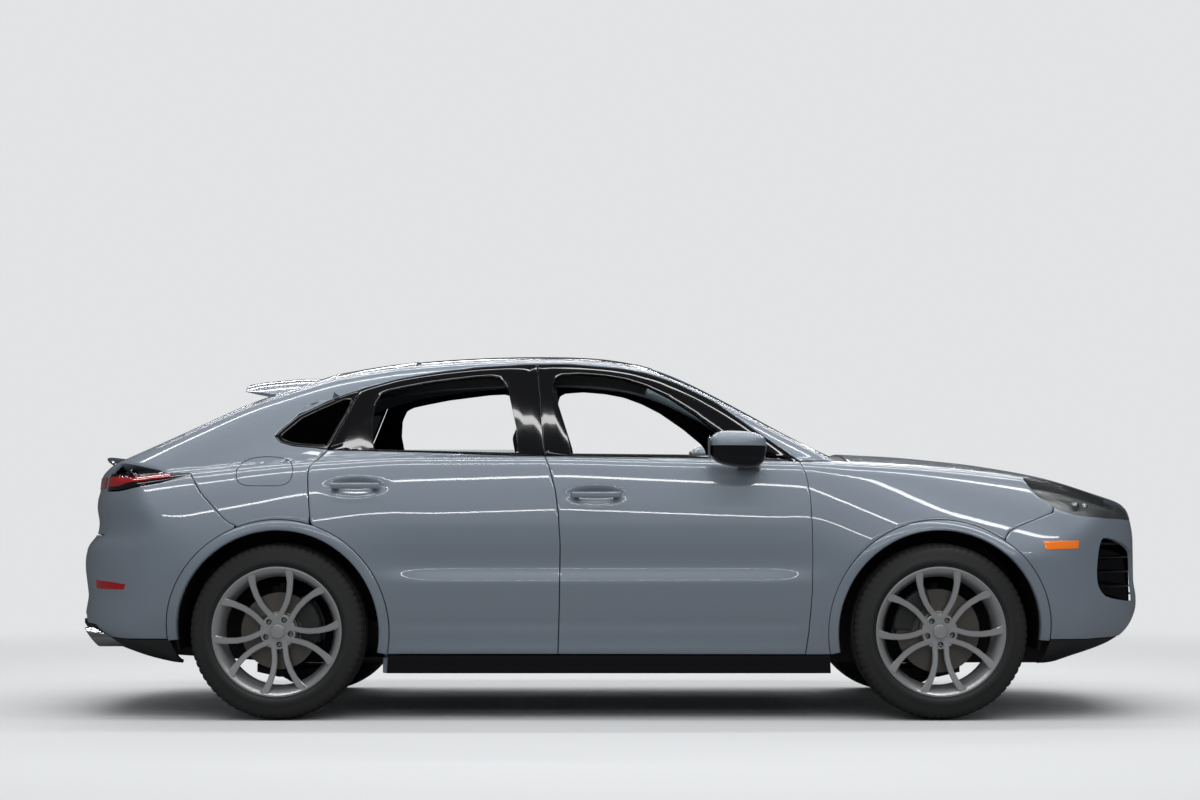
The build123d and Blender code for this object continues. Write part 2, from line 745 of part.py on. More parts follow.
grille_front = 14.0
grille_back = 26.0
slat_pitch = 48.0
slot_height = 34.0
slot_width = 190.0
slot_pitch = 205.0
grille_rows = 7
grille_columns = 3
side_rows = 5
grille_z_share = 0.4097
side_slot_shares = (0.7211, 0.3879)
with BuildPart() as grille_slab:
    add(lower_body(grille_front))
    add(lower_body(grille_back), mode=Mode.SUBTRACT)
with BuildPart() as grille_middle:
    add(grille_slab.part)
    add(grille_zone, mode=Mode.INTERSECT)
    with Locations((length / 2, 0, z_at(grille_z_share))):
        with Locations(Plane.YZ):
            with GridLocations(slot_pitch, slat_pitch, grille_columns, grille_rows):
                Box(slot_width, slot_height, half_width, mode=Mode.SUBTRACT)
with BuildPart() as grille_side:
    add(grille_slab.part)
    add(intake_zone, mode=Mode.INTERSECT)
    with Locations((length / 2, y_at(side_slot_shares[0]), z_at(side_slot_shares[1]))):
        with Locations(Plane.YZ):
            with GridLocations(slot_pitch, slat_pitch, 1, side_rows):
                Box(slot_width, slot_height, half_width, mode=Mode.SUBTRACT)
with BuildPart() as front_grille:
    add(grille_middle.part)
    add(both_sides(grille_side.part))
write(front_grille.part, "front_grille")

with BuildPart() as lamp_slab:
    add(lower_outer)
    add(lower_body(lamp_depth), mode=Mode.SUBTRACT)
with BuildPart() as headlamp:
    add(lamp_slab.part)
    add(
        side_prism(side_points(headlamp_shares), y_at(headlamp_inner_share), wide),
        mode=Mode.INTERSECT,
    )
    add(hood_sweep, mode=Mode.SUBTRACT)
write(both_sides(headlamp.part), "headlamps")

# Rear end: bumper, diffuser and tail lamps
with BuildPart() as tail_lamp:
    add(lamp_slab.part)
    add(side_prism(tail_lamp_points, y_at(tail_lamp_inner_share), wide), mode=Mode.INTERSECT)
    for cutter in (middle_cut[3], upper_outer):
        add(cutter, mode=Mode.SUBTRACT)
write(both_sides(tail_lamp.part), "tail_lamps")

plate_hole_spacing = 178.0
plate_hole_radius = 3.0
plate_z_share = 0.4121
diffuser_half_share = 0.5648
diffuser_front_share = -0.4462
plate_hole_depth = 500.0
pipe_radius = 42.0
pipe_wall = 3.0
pipe_y_share = 0.6455
pipe_z_share = 0.2121
pipe_end_share = -0.4860
pipe_front_share = -0.4300


def pipe_bar(radius, x_low, x_high):
    with BuildPart() as bar:
        with BuildSketch(Plane.YZ.offset(x_low)):
            with Locations((y_at(pipe_y_share), z_at(pipe_z_share))):
                Circle(radius)
        extrude(amount=x_high - x_low)
    return bar.part


pipe_holes = both_sides(pipe_bar(pipe_radius + shut_gap, -long, x_at(pipe_front_share)))
diffuser_top_share = 0.2667
diffuser_zone = block(
    -long, x_at(diffuser_front_share), -y_at(diffuser_half_share), y_at(diffuser_half_share),
    z_at(lower_valance_share) / 2, z_at(diffuser_top_share),
)
with BuildPart() as rear_bumper:
    add(lower_skin.part)
    add(side_prism(side_points(rear_bumper_shares), -wide, wide), mode=Mode.INTERSECT)
    for cutter in (middle_cut[3], diffuser_zone, pipe_holes, *trim_drums):
        add(cutter, mode=Mode.SUBTRACT)
    for side in (1, -1):
        with Locations((-length / 2, side * plate_hole_spacing / 2, z_at(plate_z_share))):
            Cylinder(plate_hole_radius, plate_hole_depth, rotation=(0, 90, 0), mode=Mode.SUBTRACT)
write(rear_bumper.part, "rear_bumper")
with BuildPart() as rear_diffuser:
    add(lower_skin.part)
    add(
        block(-long, rear_axle_x, -wide, wide, 0, z_at(rear_valance_share)) + diffuser_zone,
        mode=Mode.INTERSECT,
    )
    for cutter in (pipe_holes, *trim_drums):
        add(cutter, mode=Mode.SUBTRACT)
write(rear_diffuser.part, "rear_diffuser")

# Arch trims round the four wheel openings
with BuildPart() as arch_ring:
    add(lower_outer)
    add(lower_inner, mode=Mode.SUBTRACT)
    add(
        trim_drums[0] + trim_drums[1],
        mode=Mode.INTERSECT,
    )
    add(block(-long, long, side_low_y, wide, z_at(sill_top_share), height), mode=Mode.INTERSECT)
    for cutter in arch_drums(arch_radius, 0, wide):
        add(cutter, mode=Mode.SUBTRACT)
write(both_sides(arch_ring.part), "arch_trims")

# Floor, rails, wheel houses and bulkheads in one welded underbody
well_radius = 455.0
well_wall = 12.0
well_outer_y = 920.0
rail_inner_y = 398.0
rail_outer_y = well_inner_y - well_wall
rail_top_share = 0.3939
floor_low_share = 0.1303
floor_top_share = 0.1515
nose_beam_share = 0.4361
tail_beam_share = -0.4564
rail_tail_share = -0.4057
firewall_shares = (0.1886, 0.1947)
firewall_top_share = 0.6545
load_floor_shares = (0.3394, 0.3576)
load_floor_front_share = -0.2606
floor_rear_share = -0.1955
floor_z = (z_at(floor_low_share), z_at(floor_top_share))
nose_beam_shares = (0.2667, 0.3030)
tail_beam_shares = (0.2909, 0.3879)
hood_post_shares = (0.4219, 0.1515)
gate_post_shares = (-0.4625, 0.3030, 0.5333)
stop_half_width = 60.0
with BuildPart() as underbody:
    add(
        block(
            x_at(rail_tail_share), x_at(nose_beam_share), -rail_outer_y, rail_outer_y, *floor_z
        )
    )
    add(
        block(
            x_at(floor_rear_share), x_at(firewall_shares[1]), -floor_half_width,
            floor_half_width, *floor_z,
        )
    )
    for side in (1, -1):
        for x_low, x_high in (
            (x_at(firewall_shares[0]), x_at(nose_beam_share)),
            (x_at(rail_tail_share), x_at(sill_rear_share)),
        ):
            y_pair = sorted((side * rail_inner_y, side * rail_outer_y))
            add(block(x_low, x_high, *y_pair, floor_z[0], z_at(rail_top_share)))
        for x, z in arch_places:
            y_ring = sorted((side * rail_outer_y, side * well_outer_y))
            y_wall = sorted((side * rail_outer_y, side * well_inner_y))
            ring_zone = block(-long, long, -wide, wide, z_at(step_low_share), height)
            wall_zone = block(-long, long, -wide, wide, z_at(rail_top_share) - well_wall, height)
            ring = (
                drum(x, z, well_radius + well_wall, *y_ring) - drum(x, z, well_radius, *y_ring)
            ) & ring_zone
            wall = drum(x, z, well_radius + well_wall, *y_wall) & wall_zone
            add(ring)
            add(wall)
    add(
        block(
            x_at(firewall_shares[0]), x_at(firewall_shares[1]), -floor_half_width,
            floor_half_width, floor_z[0], z_at(firewall_top_share),
        )
    )
    add(
        block(
            x_at(tail_beam_share), x_at(load_floor_front_share), -rail_outer_y, rail_outer_y,
            z_at(load_floor_shares[0]), z_at(load_floor_shares[1]),
        )
    )
    add(
        block(
            x_at(nose_beam_share), long, -rail_outer_y, rail_outer_y,
            z_at(nose_beam_shares[0]), z_at(nose_beam_shares[1]),
        )
        & lower_inner
    )
    add(
        block(
            -long, x_at(tail_beam_share), -rail_outer_y, rail_outer_y,
            z_at(tail_beam_shares[0]), z_at(tail_beam_shares[1]),
        )
        & lower_inner
    )
    add(
        block(
            x_at(hood_post_shares[0]), x_at(nose_beam_share), -stop_half_width, stop_half_width,
            z_at(hood_post_shares[1]), height,
        )
        & lower_seat
    )
    add(
        block(
            -long, x_at(gate_post_shares[0]), -stop_half_width, stop_half_width,
            z_at(gate_post_shares[1]), z_at(gate_post_shares[2]),
        )
        & lower_seat
    )
    add(lower_inner, mode=Mode.INTERSECT)
write(underbody.part, "underbody")

# Engine, drawn as one plain block
engine_x_shares = (0.2272, 0.3631)
engine_half_width = 300.0
engine_z_shares = (0.1515, 0.5455)
with BuildPart() as engine_block:
    add(
        block(
            x_at(engine_x_shares[0]), x_at(engine_x_shares[1]), -engine_half_width,
            engine_half_width, z_at(engine_z_shares[0]), z_at(engine_z_shares[1]),
        )
    )
    chamfer(engine_block.edges().filter_by(Axis.X), engine_half_width / 4)
write(engine_block.part, "engine_block")

# Suspension: two arms at each wheel, with eyes on the steering axis in front
king_y = 750.0
arm_low_share = 0.1152
arm_high_share = 0.3515
arm_root_half = 160.0
arm_wall = 26.0
eye_radius = 24.0
pin_radius = 12.0
pin_clearance = 0.05
spindle_radius = 25.0
upright_half = 25.0
upright_depth = 50.0
upright_width = 90.0


def arm_pair(x, y_end):
    with BuildPart() as arms:
        for z_share in (arm_low_share, arm_high_share):
            z = z_at(z_share)
            with BuildSketch(Plane.XY.offset(z - arm_wall / 2)):
                with BuildLine():
                    Polyline(
                        (x - arm_root_half, rail_outer_y),
                        (x + arm_root_half, rail_outer_y),
                        (x + eye_radius, y_end),
                        (x - eye_radius, y_end),
                        close=True,
                    )
                make_face()
                with Locations((x, y_end)):
                    Circle(eye_radius)
            extrude(amount=arm_wall)
    return arms.part


with BuildPart() as front_arms:
    add(arm_pair(front_axle_x, king_y))
    with Locations((front_axle_x, king_y, axle_z)):
        Cylinder(pin_radius + pin_clearance, height, mode=Mode.SUBTRACT)
    add(
        block(
            front_axle_x - arm_root_half, front_axle_x + arm_root_half, rail_inner_y, rail_outer_y,
            z_at(arm_low_share) - arm_wall / 2, floor_z[0],
        )
    )
write(both_sides(front_arms.part), "front_suspension")

hub_y = 850.0
with BuildPart() as rear_arms:
    add(arm_pair(rear_axle_x, king_y))
    add(
        block(
            rear_axle_x - arm_root_half, rear_axle_x + arm_root_half, rail_inner_y, rail_outer_y,
            z_at(arm_low_share) - arm_wall / 2, floor_z[0],
        )
    )
    add(
        block(
            rear_axle_x - upright_width / 2, rear_axle_x + upright_width / 2,
            king_y - upright_depth, king_y + eye_radius / 2, z_at(arm_low_share),
            z_at(arm_high_share),
        )
    )
    add(drum(rear_axle_x, axle_z, spindle_radius, king_y, hub_y))
rear_susp = rear_arms.part

# Brake calipers sit on the knuckles and hold the discs without touching them
disc_radius = 172.0
disc_inner_y = 784.0
disc_wall = 28.0
caliper_inner = 105.0
caliper_outer = 200.0
caliper_wall = 24.0
caliper_gap = 5.0
caliper_half_angle = 26.0


def caliper(x, facing):
    """A saddle over the disc edge, on the side that facing gives."""
    y_low = disc_inner_y - caliper_gap - caliper_wall
    y_high = disc_inner_y + disc_wall + caliper_gap + caliper_wall
    reach = 2 * caliper_outer
    rise = reach * sin(radians(caliper_half_angle))
    wedge = [
        (x, axle_z),
        (x + facing * reach, axle_z + 2 * rise),
        (x + facing * reach, axle_z - rise / 2),
    ]
    with BuildPart() as saddle:
        add(drum(x, axle_z, caliper_outer, y_low, y_high))
        add(drum(x, axle_z, caliper_inner, y_low, y_high), mode=Mode.SUBTRACT)
        add(side_prism(wedge, 0, wide), mode=Mode.INTERSECT)
        add(
            drum(
                x, axle_z, disc_radius + caliper_gap, disc_inner_y - caliper_gap,
                disc_inner_y + disc_wall + caliper_gap,
            ),
            mode=Mode.SUBTRACT,
        )
    return saddle.part


with BuildPart() as rear_suspension:
    add(rear_susp)
    add(caliper(rear_axle_x, 1))
    add(
        block(
            rear_axle_x, rear_axle_x + caliper_outer - caliper_wall, king_y - upright_half,
            disc_inner_y - caliper_gap, axle_z - upright_half, axle_z + upright_width,
        )
    )
write(both_sides(rear_suspension.part), "rear_suspension")

knuckle_gap = 1.0
with BuildPart() as knuckle_left:
    add(
        block(
            front_axle_x - upright_width / 2, front_axle_x + upright_width / 2,
            king_y - upright_half, king_y + upright_half,
            z_at(arm_low_share) + arm_wall / 2 + knuckle_gap,
            z_at(arm_high_share) - arm_wall / 2 - knuckle_gap,
        )
    )
    with Locations((front_axle_x, king_y, z_at((arm_low_share + arm_high_share) / 2))):
        Cylinder(pin_radius, z_at(arm_high_share - arm_low_share) + arm_wall)
    add(drum(front_axle_x, axle_z, spindle_radius, king_y, hub_y))
    add(caliper(front_axle_x, -1))
    add(
        block(
            front_axle_x - caliper_outer + caliper_wall, front_axle_x, king_y - upright_half,
            disc_inner_y - caliper_gap, axle_z - upright_half, axle_z + upright_width,
        )
    )
write(knuckle_left.part, "knuckle_left")
write(mirror(knuckle_left.part, about=Plane.XZ), "knuckle_right")

# Wheels: rim, ten spokes, hub and brake disc in one piece, and the tyres
hub_radius = 78.0
hub_inner_y = disc_inner_y
hub_outer_y = 925.0
rim_inner_y = 700.0
rim_outer_y = 956.0
spoke_count = 10
spoke_width = 26.0
spoke_inner_y = 905.0
spoke_outer_y = 945.0
bead_radius = rim_radius - rim_wall


def ring_profile(points, x, z):
    """A ring turned about the wheel axis from (radius, y) points."""
    with BuildPart() as ring:
        with BuildSketch(Plane.XY):
            with BuildLine():
                Polyline(*points, close=True)
            make_face()
        revolve(axis=Axis.Y)
    return ring.part.moved(Location((x, 0, z)))


rim_points = [
    (bead_radius, rim_inner_y), (rim_radius, rim_inner_y), (rim_radius, rim_outer_y),
    (bead_radius, rim_outer_y),
]
wall_radius = rim_radius + 30.0
shoulder_radius = tyre_radius - 35.0
edge_radius = tyre_radius - 8.0
tread_half = 80.0
shoulder_half = tyre_width / 2 - 4.0
edge_half = tyre_width / 2 - 28.0
tyre_points = [
    (rim_radius, rim_inner_y), (wall_radius, tyre_face_y - tyre_width),
    (shoulder_radius, wheel_y - shoulder_half), (edge_radius, wheel_y - edge_half),
    (tyre_radius, wheel_y - tread_half), (tyre_radius, wheel_y + tread_half),
    (edge_radius, wheel_y + edge_half), (shoulder_radius, wheel_y + shoulder_half),
    (wall_radius, tyre_face_y), (rim_radius, rim_outer_y),
]


def wheel(x):
    with BuildPart() as piece:
        add(ring_profile(rim_points, x, axle_z))
        add(drum(x, axle_z, hub_radius, hub_inner_y, hub_outer_y))
        add(drum(x, axle_z, disc_radius, disc_inner_y, disc_inner_y + disc_wall))
        with BuildSketch(Plane.XZ.offset(-spoke_inner_y)):
            for turn in range(spoke_count):
                with Locations(Location((x, axle_z), 360 * turn / spoke_count)):
                    with Locations(((hub_radius + bead_radius) / 2, 0)):
                        Rectangle(bead_radius - hub_radius + rim_wall, spoke_width)
        extrude(amount=spoke_inner_y - spoke_outer_y)
        add(
            drum(x, axle_z, spindle_radius + pin_clearance, 0, hub_y + knuckle_gap),
            mode=Mode.SUBTRACT,
        )
    return piece.part


for end, x in (("front", front_axle_x), ("rear", rear_axle_x)):
    left_wheel = wheel(x)
    left_tyre = ring_profile(tyre_points, x, axle_z)
    write(left_wheel, "wheel_" + end + "_left")
    write(mirror(left_wheel, about=Plane.XZ), "wheel_" + end + "_right")
    write(left_tyre, "tyre_" + end + "_left")
    write(mirror(left_tyre, about=Plane.XZ), "tyre_" + end + "_right")


# Exhaust: a silencer hung from the load floor and one tail pipe a side
silencer_x_shares = (-0.4462, -0.4118)
silencer_half_share = 0.3883
silencer_z_shares = (0.1891, 0.2618)
hanger_half = 40.0
with BuildPart() as exhaust:
    add(
        block(
            x_at(silencer_x_shares[0]), x_at(silencer_x_shares[1]), -y_at(silencer_half_share),
            y_at(silencer_half_share), z_at(silencer_z_shares[0]), z_at(silencer_z_shares[1]),
        )
    )
    fillet(exhaust.edges().filter_by(Axis.Y), hanger_half)
    add(
        block(
            x_at(pipe_front_share) - hanger_half, x_at(pipe_front_share) + hanger_half,
            -hanger_half, hanger_half, z_at(silencer_z_shares[1]), z_at(load_floor_shares[0]),
        )
    )
    for side in (1, -1):
        y_pair = sorted((0, side * y_at(pipe_y_share)))
        add(drum(x_at(pipe_front_share), z_at(pipe_z_share), pipe_radius, *y_pair))
    add(both_sides(pipe_bar(pipe_radius, x_at(pipe_end_share), x_at(pipe_front_share))))
    add(
        both_sides(
            pipe_bar(
                pipe_radius - pipe_wall, x_at(pipe_end_share), x_at(pipe_front_share) - pipe_radius
            )
        ),
        mode=Mode.SUBTRACT,
    )
write(exhaust.part, "exhaust")

# Seats, dashboard and steering wheel
seat_y_share = 0.3732
seat_width = 500.0
seat_shares = [
    (0.0629, 0.2606), (0.0659, 0.3030), (0.0588, 0.3321), (-0.0304, 0.3061), (-0.0700, 0.6667),
    (-0.0852, 0.6758), (-0.0923, 0.6545), (-0.0669, 0.2848), (-0.0609, 0.2606),
]
bench_shares = [
    (-0.1055, 0.2424), (-0.1014, 0.2909), (-0.1075, 0.3303), (-0.1947, 0.3030), (-0.2333, 0.6545),
    (-0.2495, 0.6667), (-0.2576, 0.6424), (-0.2211, 0.2848), (-0.2130, 0.2424),
]
bench_half_share = 0.6455
bench_foot_shares = (-0.1826, -0.1136)
bench_foot_half_share = 0.5809
bench_foot_top_share = 0.2485
bench_rest_shares = (-0.2444, 0.6655)
seat_rest_shares = (-0.0822, 0.6758)
seat_rail_shares = (-0.0507, 0.0507, 0.2667)
headrest_depth = 100.0
headrest_width = 240.0
headrest_rise = 150.0
headrest_round = 35.0
headrest_stem = 50.0
seat_rail_width = 30.0
bench_rest_y_shares = (-0.4034, 0, 0.4034)


def headrest(x, y, z):
    """A padded block on a stem that stands on the seat back at z."""
    with BuildPart() as rest:
        with Locations((x, y, z + headrest_stem + headrest_rise / 2)):
            Box(headrest_depth, headrest_width, headrest_rise)
        fillet(rest.edges(), headrest_round)
        with Locations((x, y, z + headrest_stem / 2)):
            Box(headrest_stem / 2, headrest_width / 2, 2 * headrest_stem)
    return rest.part


seat_y = y_at(seat_y_share)
seat_low, seat_high = seat_y - seat_width / 2, seat_y + seat_width / 2
with BuildPart() as front_seat:
    add(side_prism(side_points(seat_shares), seat_low, seat_high))
    add(headrest(x_at(seat_rest_shares[0]), seat_y, z_at(seat_rest_shares[1])))
    for y_low in (seat_low + seat_rail_width, seat_high - 2 * seat_rail_width):
        add(
            block(
                x_at(seat_rail_shares[0]), x_at(seat_rail_shares[1]), y_low,
                y_low + seat_rail_width, floor_z[1], z_at(seat_rail_shares[2]),
            )
        )
write(both_sides(front_seat.part), "front_seats")

with BuildPart() as rear_bench:
    add(side_prism(side_points(bench_shares), -y_at(bench_half_share), y_at(bench_half_share)))
    add(
        block(
            x_at(bench_foot_shares[0]), x_at(bench_foot_shares[1]), -y_at(bench_foot_half_share),
            y_at(bench_foot_half_share), floor_z[1], z_at(bench_foot_top_share),
        )
    )
    for y_share in bench_rest_y_shares:
        add(headrest(x_at(bench_rest_shares[0]), y_at(y_share), z_at(bench_rest_shares[1])))
    for side in (1, -1):
        y_pair = sorted((side * (rail_outer_y - shut_gap), side * wide))
        add(
            drum(rear_axle_x, axle_z, well_radius + well_wall + shut_gap, *y_pair),
            mode=Mode.SUBTRACT,
        )
        y_pair = sorted((side * (rail_inner_y - shut_gap), side * wide))
        add(
            block(
                rear_axle_x, x_at(floor_rear_share), *y_pair, 0,
                z_at(rail_top_share) + shut_gap,
            ),
            mode=Mode.SUBTRACT,
        )
write(rear_bench.part, "rear_bench")

column_tilt = 25.0
column_reach = 190.0
column_radius = 22.0
grip_ring = 178.0
grip_radius = 15.0
boss_radius = 62.0
boss_depth = 45.0
steering_shares = (0.0740, 0.3732, 0.6000)
steering_plane = Plane(
    origin=(x_at(steering_shares[0]), y_at(steering_shares[1]), z_at(steering_shares[2])),
    x_dir=(0, 1, 0),
    z_dir=(-cos(radians(column_tilt)), 0, sin(radians(column_tilt))),
)
with BuildPart(steering_plane) as steering_wheel:
    Torus(grip_ring, grip_radius)
    Cylinder(boss_radius, boss_depth)
    Box(2 * grip_ring, boss_depth, grip_radius)
    with Locations((0, -grip_ring / 2, 0)):
        Box(boss_depth, grip_ring, grip_radius)
    with Locations((0, 0, -column_reach / 2)):
        Cylinder(column_radius, column_reach)
write(steering_wheel.part, "steering_wheel")

dash_shares = [
    (0.1886, 0.3879), (0.1886, 0.6515), (0.1785, 0.6697), (0.1258, 0.6776), (0.1055, 0.6606),
    (0.0974, 0.6121), (0.1045, 0.5333), (0.1156, 0.3879),
]
dash_half_share = 0.7413
console_shares = (-0.0365, 0.1217)
console_half_share = 0.1130
console_top_share = 0.4000
with BuildPart() as dashboard:
    add(side_prism(side_points(dash_shares), -y_at(dash_half_share), y_at(dash_half_share)))
    add(
        block(
            x_at(console_shares[0]), x_at(console_shares[1]), -y_at(console_half_share),
            y_at(console_half_share), floor_z[1], z_at(console_top_share),
        )
    )
    with Locations(steering_plane * Pos(0, 0, -column_reach / 2)):
        Cylinder(column_radius + seat_gap, column_reach + 2 * seat_gap, mode=Mode.SUBTRACT)
write(dashboard.part, "dashboard")
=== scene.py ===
import bpy
import json
import math
import numpy as np
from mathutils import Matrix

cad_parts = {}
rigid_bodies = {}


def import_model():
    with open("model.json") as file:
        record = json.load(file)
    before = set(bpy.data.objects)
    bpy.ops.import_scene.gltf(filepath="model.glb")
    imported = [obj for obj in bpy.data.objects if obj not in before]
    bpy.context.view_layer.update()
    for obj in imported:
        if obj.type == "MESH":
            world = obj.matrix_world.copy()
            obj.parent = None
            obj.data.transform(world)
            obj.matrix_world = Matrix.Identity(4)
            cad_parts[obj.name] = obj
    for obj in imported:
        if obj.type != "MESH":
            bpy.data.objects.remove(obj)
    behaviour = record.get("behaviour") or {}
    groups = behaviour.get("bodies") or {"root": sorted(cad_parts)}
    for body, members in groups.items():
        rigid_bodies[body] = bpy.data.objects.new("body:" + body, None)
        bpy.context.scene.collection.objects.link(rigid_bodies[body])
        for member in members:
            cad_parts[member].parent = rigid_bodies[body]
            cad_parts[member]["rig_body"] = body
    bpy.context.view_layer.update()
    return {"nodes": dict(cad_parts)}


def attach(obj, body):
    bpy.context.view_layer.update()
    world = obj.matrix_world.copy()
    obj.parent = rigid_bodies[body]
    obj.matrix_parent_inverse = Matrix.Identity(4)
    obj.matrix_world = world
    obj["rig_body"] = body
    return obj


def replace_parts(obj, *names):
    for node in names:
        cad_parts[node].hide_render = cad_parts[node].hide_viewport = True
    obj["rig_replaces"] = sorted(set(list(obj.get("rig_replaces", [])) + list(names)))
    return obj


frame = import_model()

bpy.context.scene.view_settings.view_transform = "Standard"

# Body form
# The outer panels of the car are pressed steel and plastic that meet flush. Their common
# surface is worked out here from the lines of the side, the top and the glasshouse.
fair_step = 0.005
side_blur = (0.045, 0.010)
shoulder_round = 0.060
nose_round = 0.050
rail_round = 0.055
belt_round = 0.012
bulge_share = 0.24


def bell_curve(blur, step):
    """Reach and weights of a bell curve, on points a step apart."""
    half = int(3 * blur / step)
    bell = np.exp(-0.5 * (np.arange(-half, half + 1) * step / blur) ** 2)
    return half, bell / bell.sum()


def faired(places, blur=0.04):
    """A smooth line through (place, value) pairs, with its corners softened over a length."""
    places = np.array(places, float)
    reach = 1.0
    line = np.arange(places[0, 0] - reach, places[-1, 0] + reach, fair_step)
    slopes = np.diff(places[:, 1]) / np.diff(places[:, 0])
    raw = np.interp(line, places[:, 0], places[:, 1])
    raw += np.minimum(line - places[0, 0], 0) * slopes[0]
    raw += np.maximum(line - places[-1, 0], 0) * slopes[-1]
    half, bell = bell_curve(blur, fair_step)
    padded = np.concatenate((
        raw[0] + slopes[0] * fair_step * np.arange(-half, 0), raw,
        raw[-1] + slopes[-1] * fair_step * np.arange(1, half + 1),
    ))
    smooth = np.convolve(padded, bell, "valid")
    return lambda at: np.interp(at, line, smooth)


# Side rails along the car: x, underside z and y, widest z and y, edge z and y
side_rails = np.array([
    (-2.62, 0.30, 0.70, 0.64, 0.945, 0.99, 0.80),
    (-2.05, 0.23, 0.80, 0.66, 0.978, 1.06, 0.85),
    (-1.455, 0.19, 0.85, 0.70, 0.9915, 1.12, 0.89),
    (-0.95, 0.19, 0.87, 0.70, 0.970, 1.15, 0.893),
    (-0.20, 0.19, 0.87, 0.70, 0.958, 1.15, 0.893),
    (0.88, 0.19, 0.87, 0.70, 0.965, 1.125, 0.888),
    (1.44, 0.19, 0.85, 0.74, 0.9915, 1.10, 0.80),
    (1.95, 0.19, 0.80, 0.70, 0.975, 1.05, 0.74),
    (2.62, 0.30, 0.70, 0.60, 0.930, 0.85, 0.70),
])
side_swage = np.array([
    (0.19, 0.0), (0.283, 0.008), (0.300, 0.014), (0.312, 0.012), (0.330, 0.004), (0.396, 0.003),
    (0.404, -0.004), (0.420, -0.006), (0.440, -0.002), (0.54, 0.005), (0.598, 0.012),
    (0.612, 0.008), (0.660, -0.011), (0.700, -0.012), (0.76, -0.002), (0.85, 0.003), (0.98, 0.0),
])
swage_span = [(-1.10, 0.0), (-0.80, 1.0), (0.72, 1.0), (0.98, 0.0)]
grid_step = 0.01
grid_x = np.arange(-2.9, 2.9, grid_step)
grid_z = np.arange(0.10, 1.50, grid_step)


def side_table():
    """Half widths of the body on a grid of x and z, blurred along both."""
    rails = [np.interp(grid_x, side_rails[:, 0], column) for column in side_rails[:, 1:].T]
    z_low, y_low, z_wide, y_wide, z_edge, y_edge = rails
    fade = np.interp(grid_x, *np.array(swage_span).T)
    rows = []
    for z in grid_z:
        low_share = np.clip((z - z_low) / (z_wide - z_low), -0.5, 1)
        below = y_low + (y_wide - y_low) * (1 - (1 - low_share) ** 2)
        rise = z_edge - z_wide
        share = (z - z_wide) / rise
        above = y_wide + (y_edge - y_wide) * share + bulge_share * rise * share * (1 - share)
        steep = y_edge - y_wide - bulge_share * rise
        beyond = y_edge + steep * (share - 1)
        row = np.where(z < z_wide, below, np.where(z < z_edge, above, beyond))
        rows.append(row + fade * np.interp(z, *side_swage.T))
    table = np.array(rows)
    for axis, blur in ((1, side_blur[0]), (0, side_blur[1])):
        half, bell = bell_curve(blur, grid_step)
        edge = [(0, 0), (0, 0)]
        edge[axis] = (half, half)
        wide = np.pad(table, edge, mode="reflect", reflect_type="odd")
        table = np.apply_along_axis(lambda line: np.convolve(line, bell, "valid"), axis, wide)
    return table


side_widths = side_table()


def from_grid(table, x, z):
    """Reads the half width table between its points."""
    column = np.clip((x - grid_x[0]) / grid_step, 0, len(grid_x) - 1.001)
    row = np.clip((z - grid_z[0]) / grid_step, 0, len(grid_z) - 1.001)
    i, j = column.astype(int), row.astype(int)
    u, v = column - i, row - j
    low = table[j, i] * (1 - u) + table[j, i + 1] * u
    high = table[j + 1, i] * (1 - u) + table[j + 1, i + 1] * u
    return low * (1 - v) + high * v


deck_crown = faired([
    (-2.60, 1.080), (-2.33, 1.125), (-2.05, 1.150), (-1.455, 1.190), (0.88, 1.190), (1.060, 1.184),
    (1.347, 1.170), (1.678, 1.137), (1.899, 1.100), (2.050, 1.066), (2.170, 1.022), (2.270, 0.972),
    (2.372, 0.915), (2.430, 0.860), (2.480, 0.800),
], 0.05)
deck_edge_z = faired([(row[0], row[5]) for row in side_rails], 0.08)
deck_edge_y = faired([(row[0], row[6]) for row in side_rails], 0.08)
nose_x = faired([
    (0.12, 1.80), (0.18, 1.95), (0.255, 2.15), (0.30, 2.30), (0.345, 2.385), (0.40, 2.432),
    (0.48, 2.465), (0.53, 2.465), (0.58, 2.450), (0.80, 2.450), (0.86, 2.440), (0.95, 2.420),
    (1.20, 2.37),
], 0.02)
tail_x = faired([
    (0.12, -1.60), (0.18, -1.83), (0.258, -2.19), (0.316, -2.345), (0.392, -2.455),
    (0.441, -2.462), (0.522, -2.448), (0.646, -2.465), (0.70, -2.465), (0.755, -2.452),
    (0.806, -2.408), (0.860, -2.402), (0.922, -2.414), (0.966, -2.412), (1.000, -2.398),
    (1.066, -2.392), (1.110, -2.372), (1.30, -2.30),
], 0.012)
nose_plan = faired([(0, 0), (0.28, 0.017), (0.60, 0.080), (0.70, 0.138), (0.80, 0.228), (0.95, 0.42)], 0.06)
tail_plan = faired([
    (0, 0), (0.28, 0.015), (0.60, 0.095), (0.745, 0.162), (0.86, 0.272), (0.95, 0.40),
], 0.06)
plan_y = faired([
    (-2.46, 0.30), (-2.40, 0.54), (-2.30, 0.745), (-2.19, 0.86), (-2.05, 0.940), (-1.85, 0.992),
    (-1.60, 1.05), (1.60, 1.05), (1.80, 1.000), (1.98, 0.950), (2.11, 0.890), (2.235, 0.800),
    (2.325, 0.700), (2.40, 0.55), (2.46, 0.30),
], 0.04)

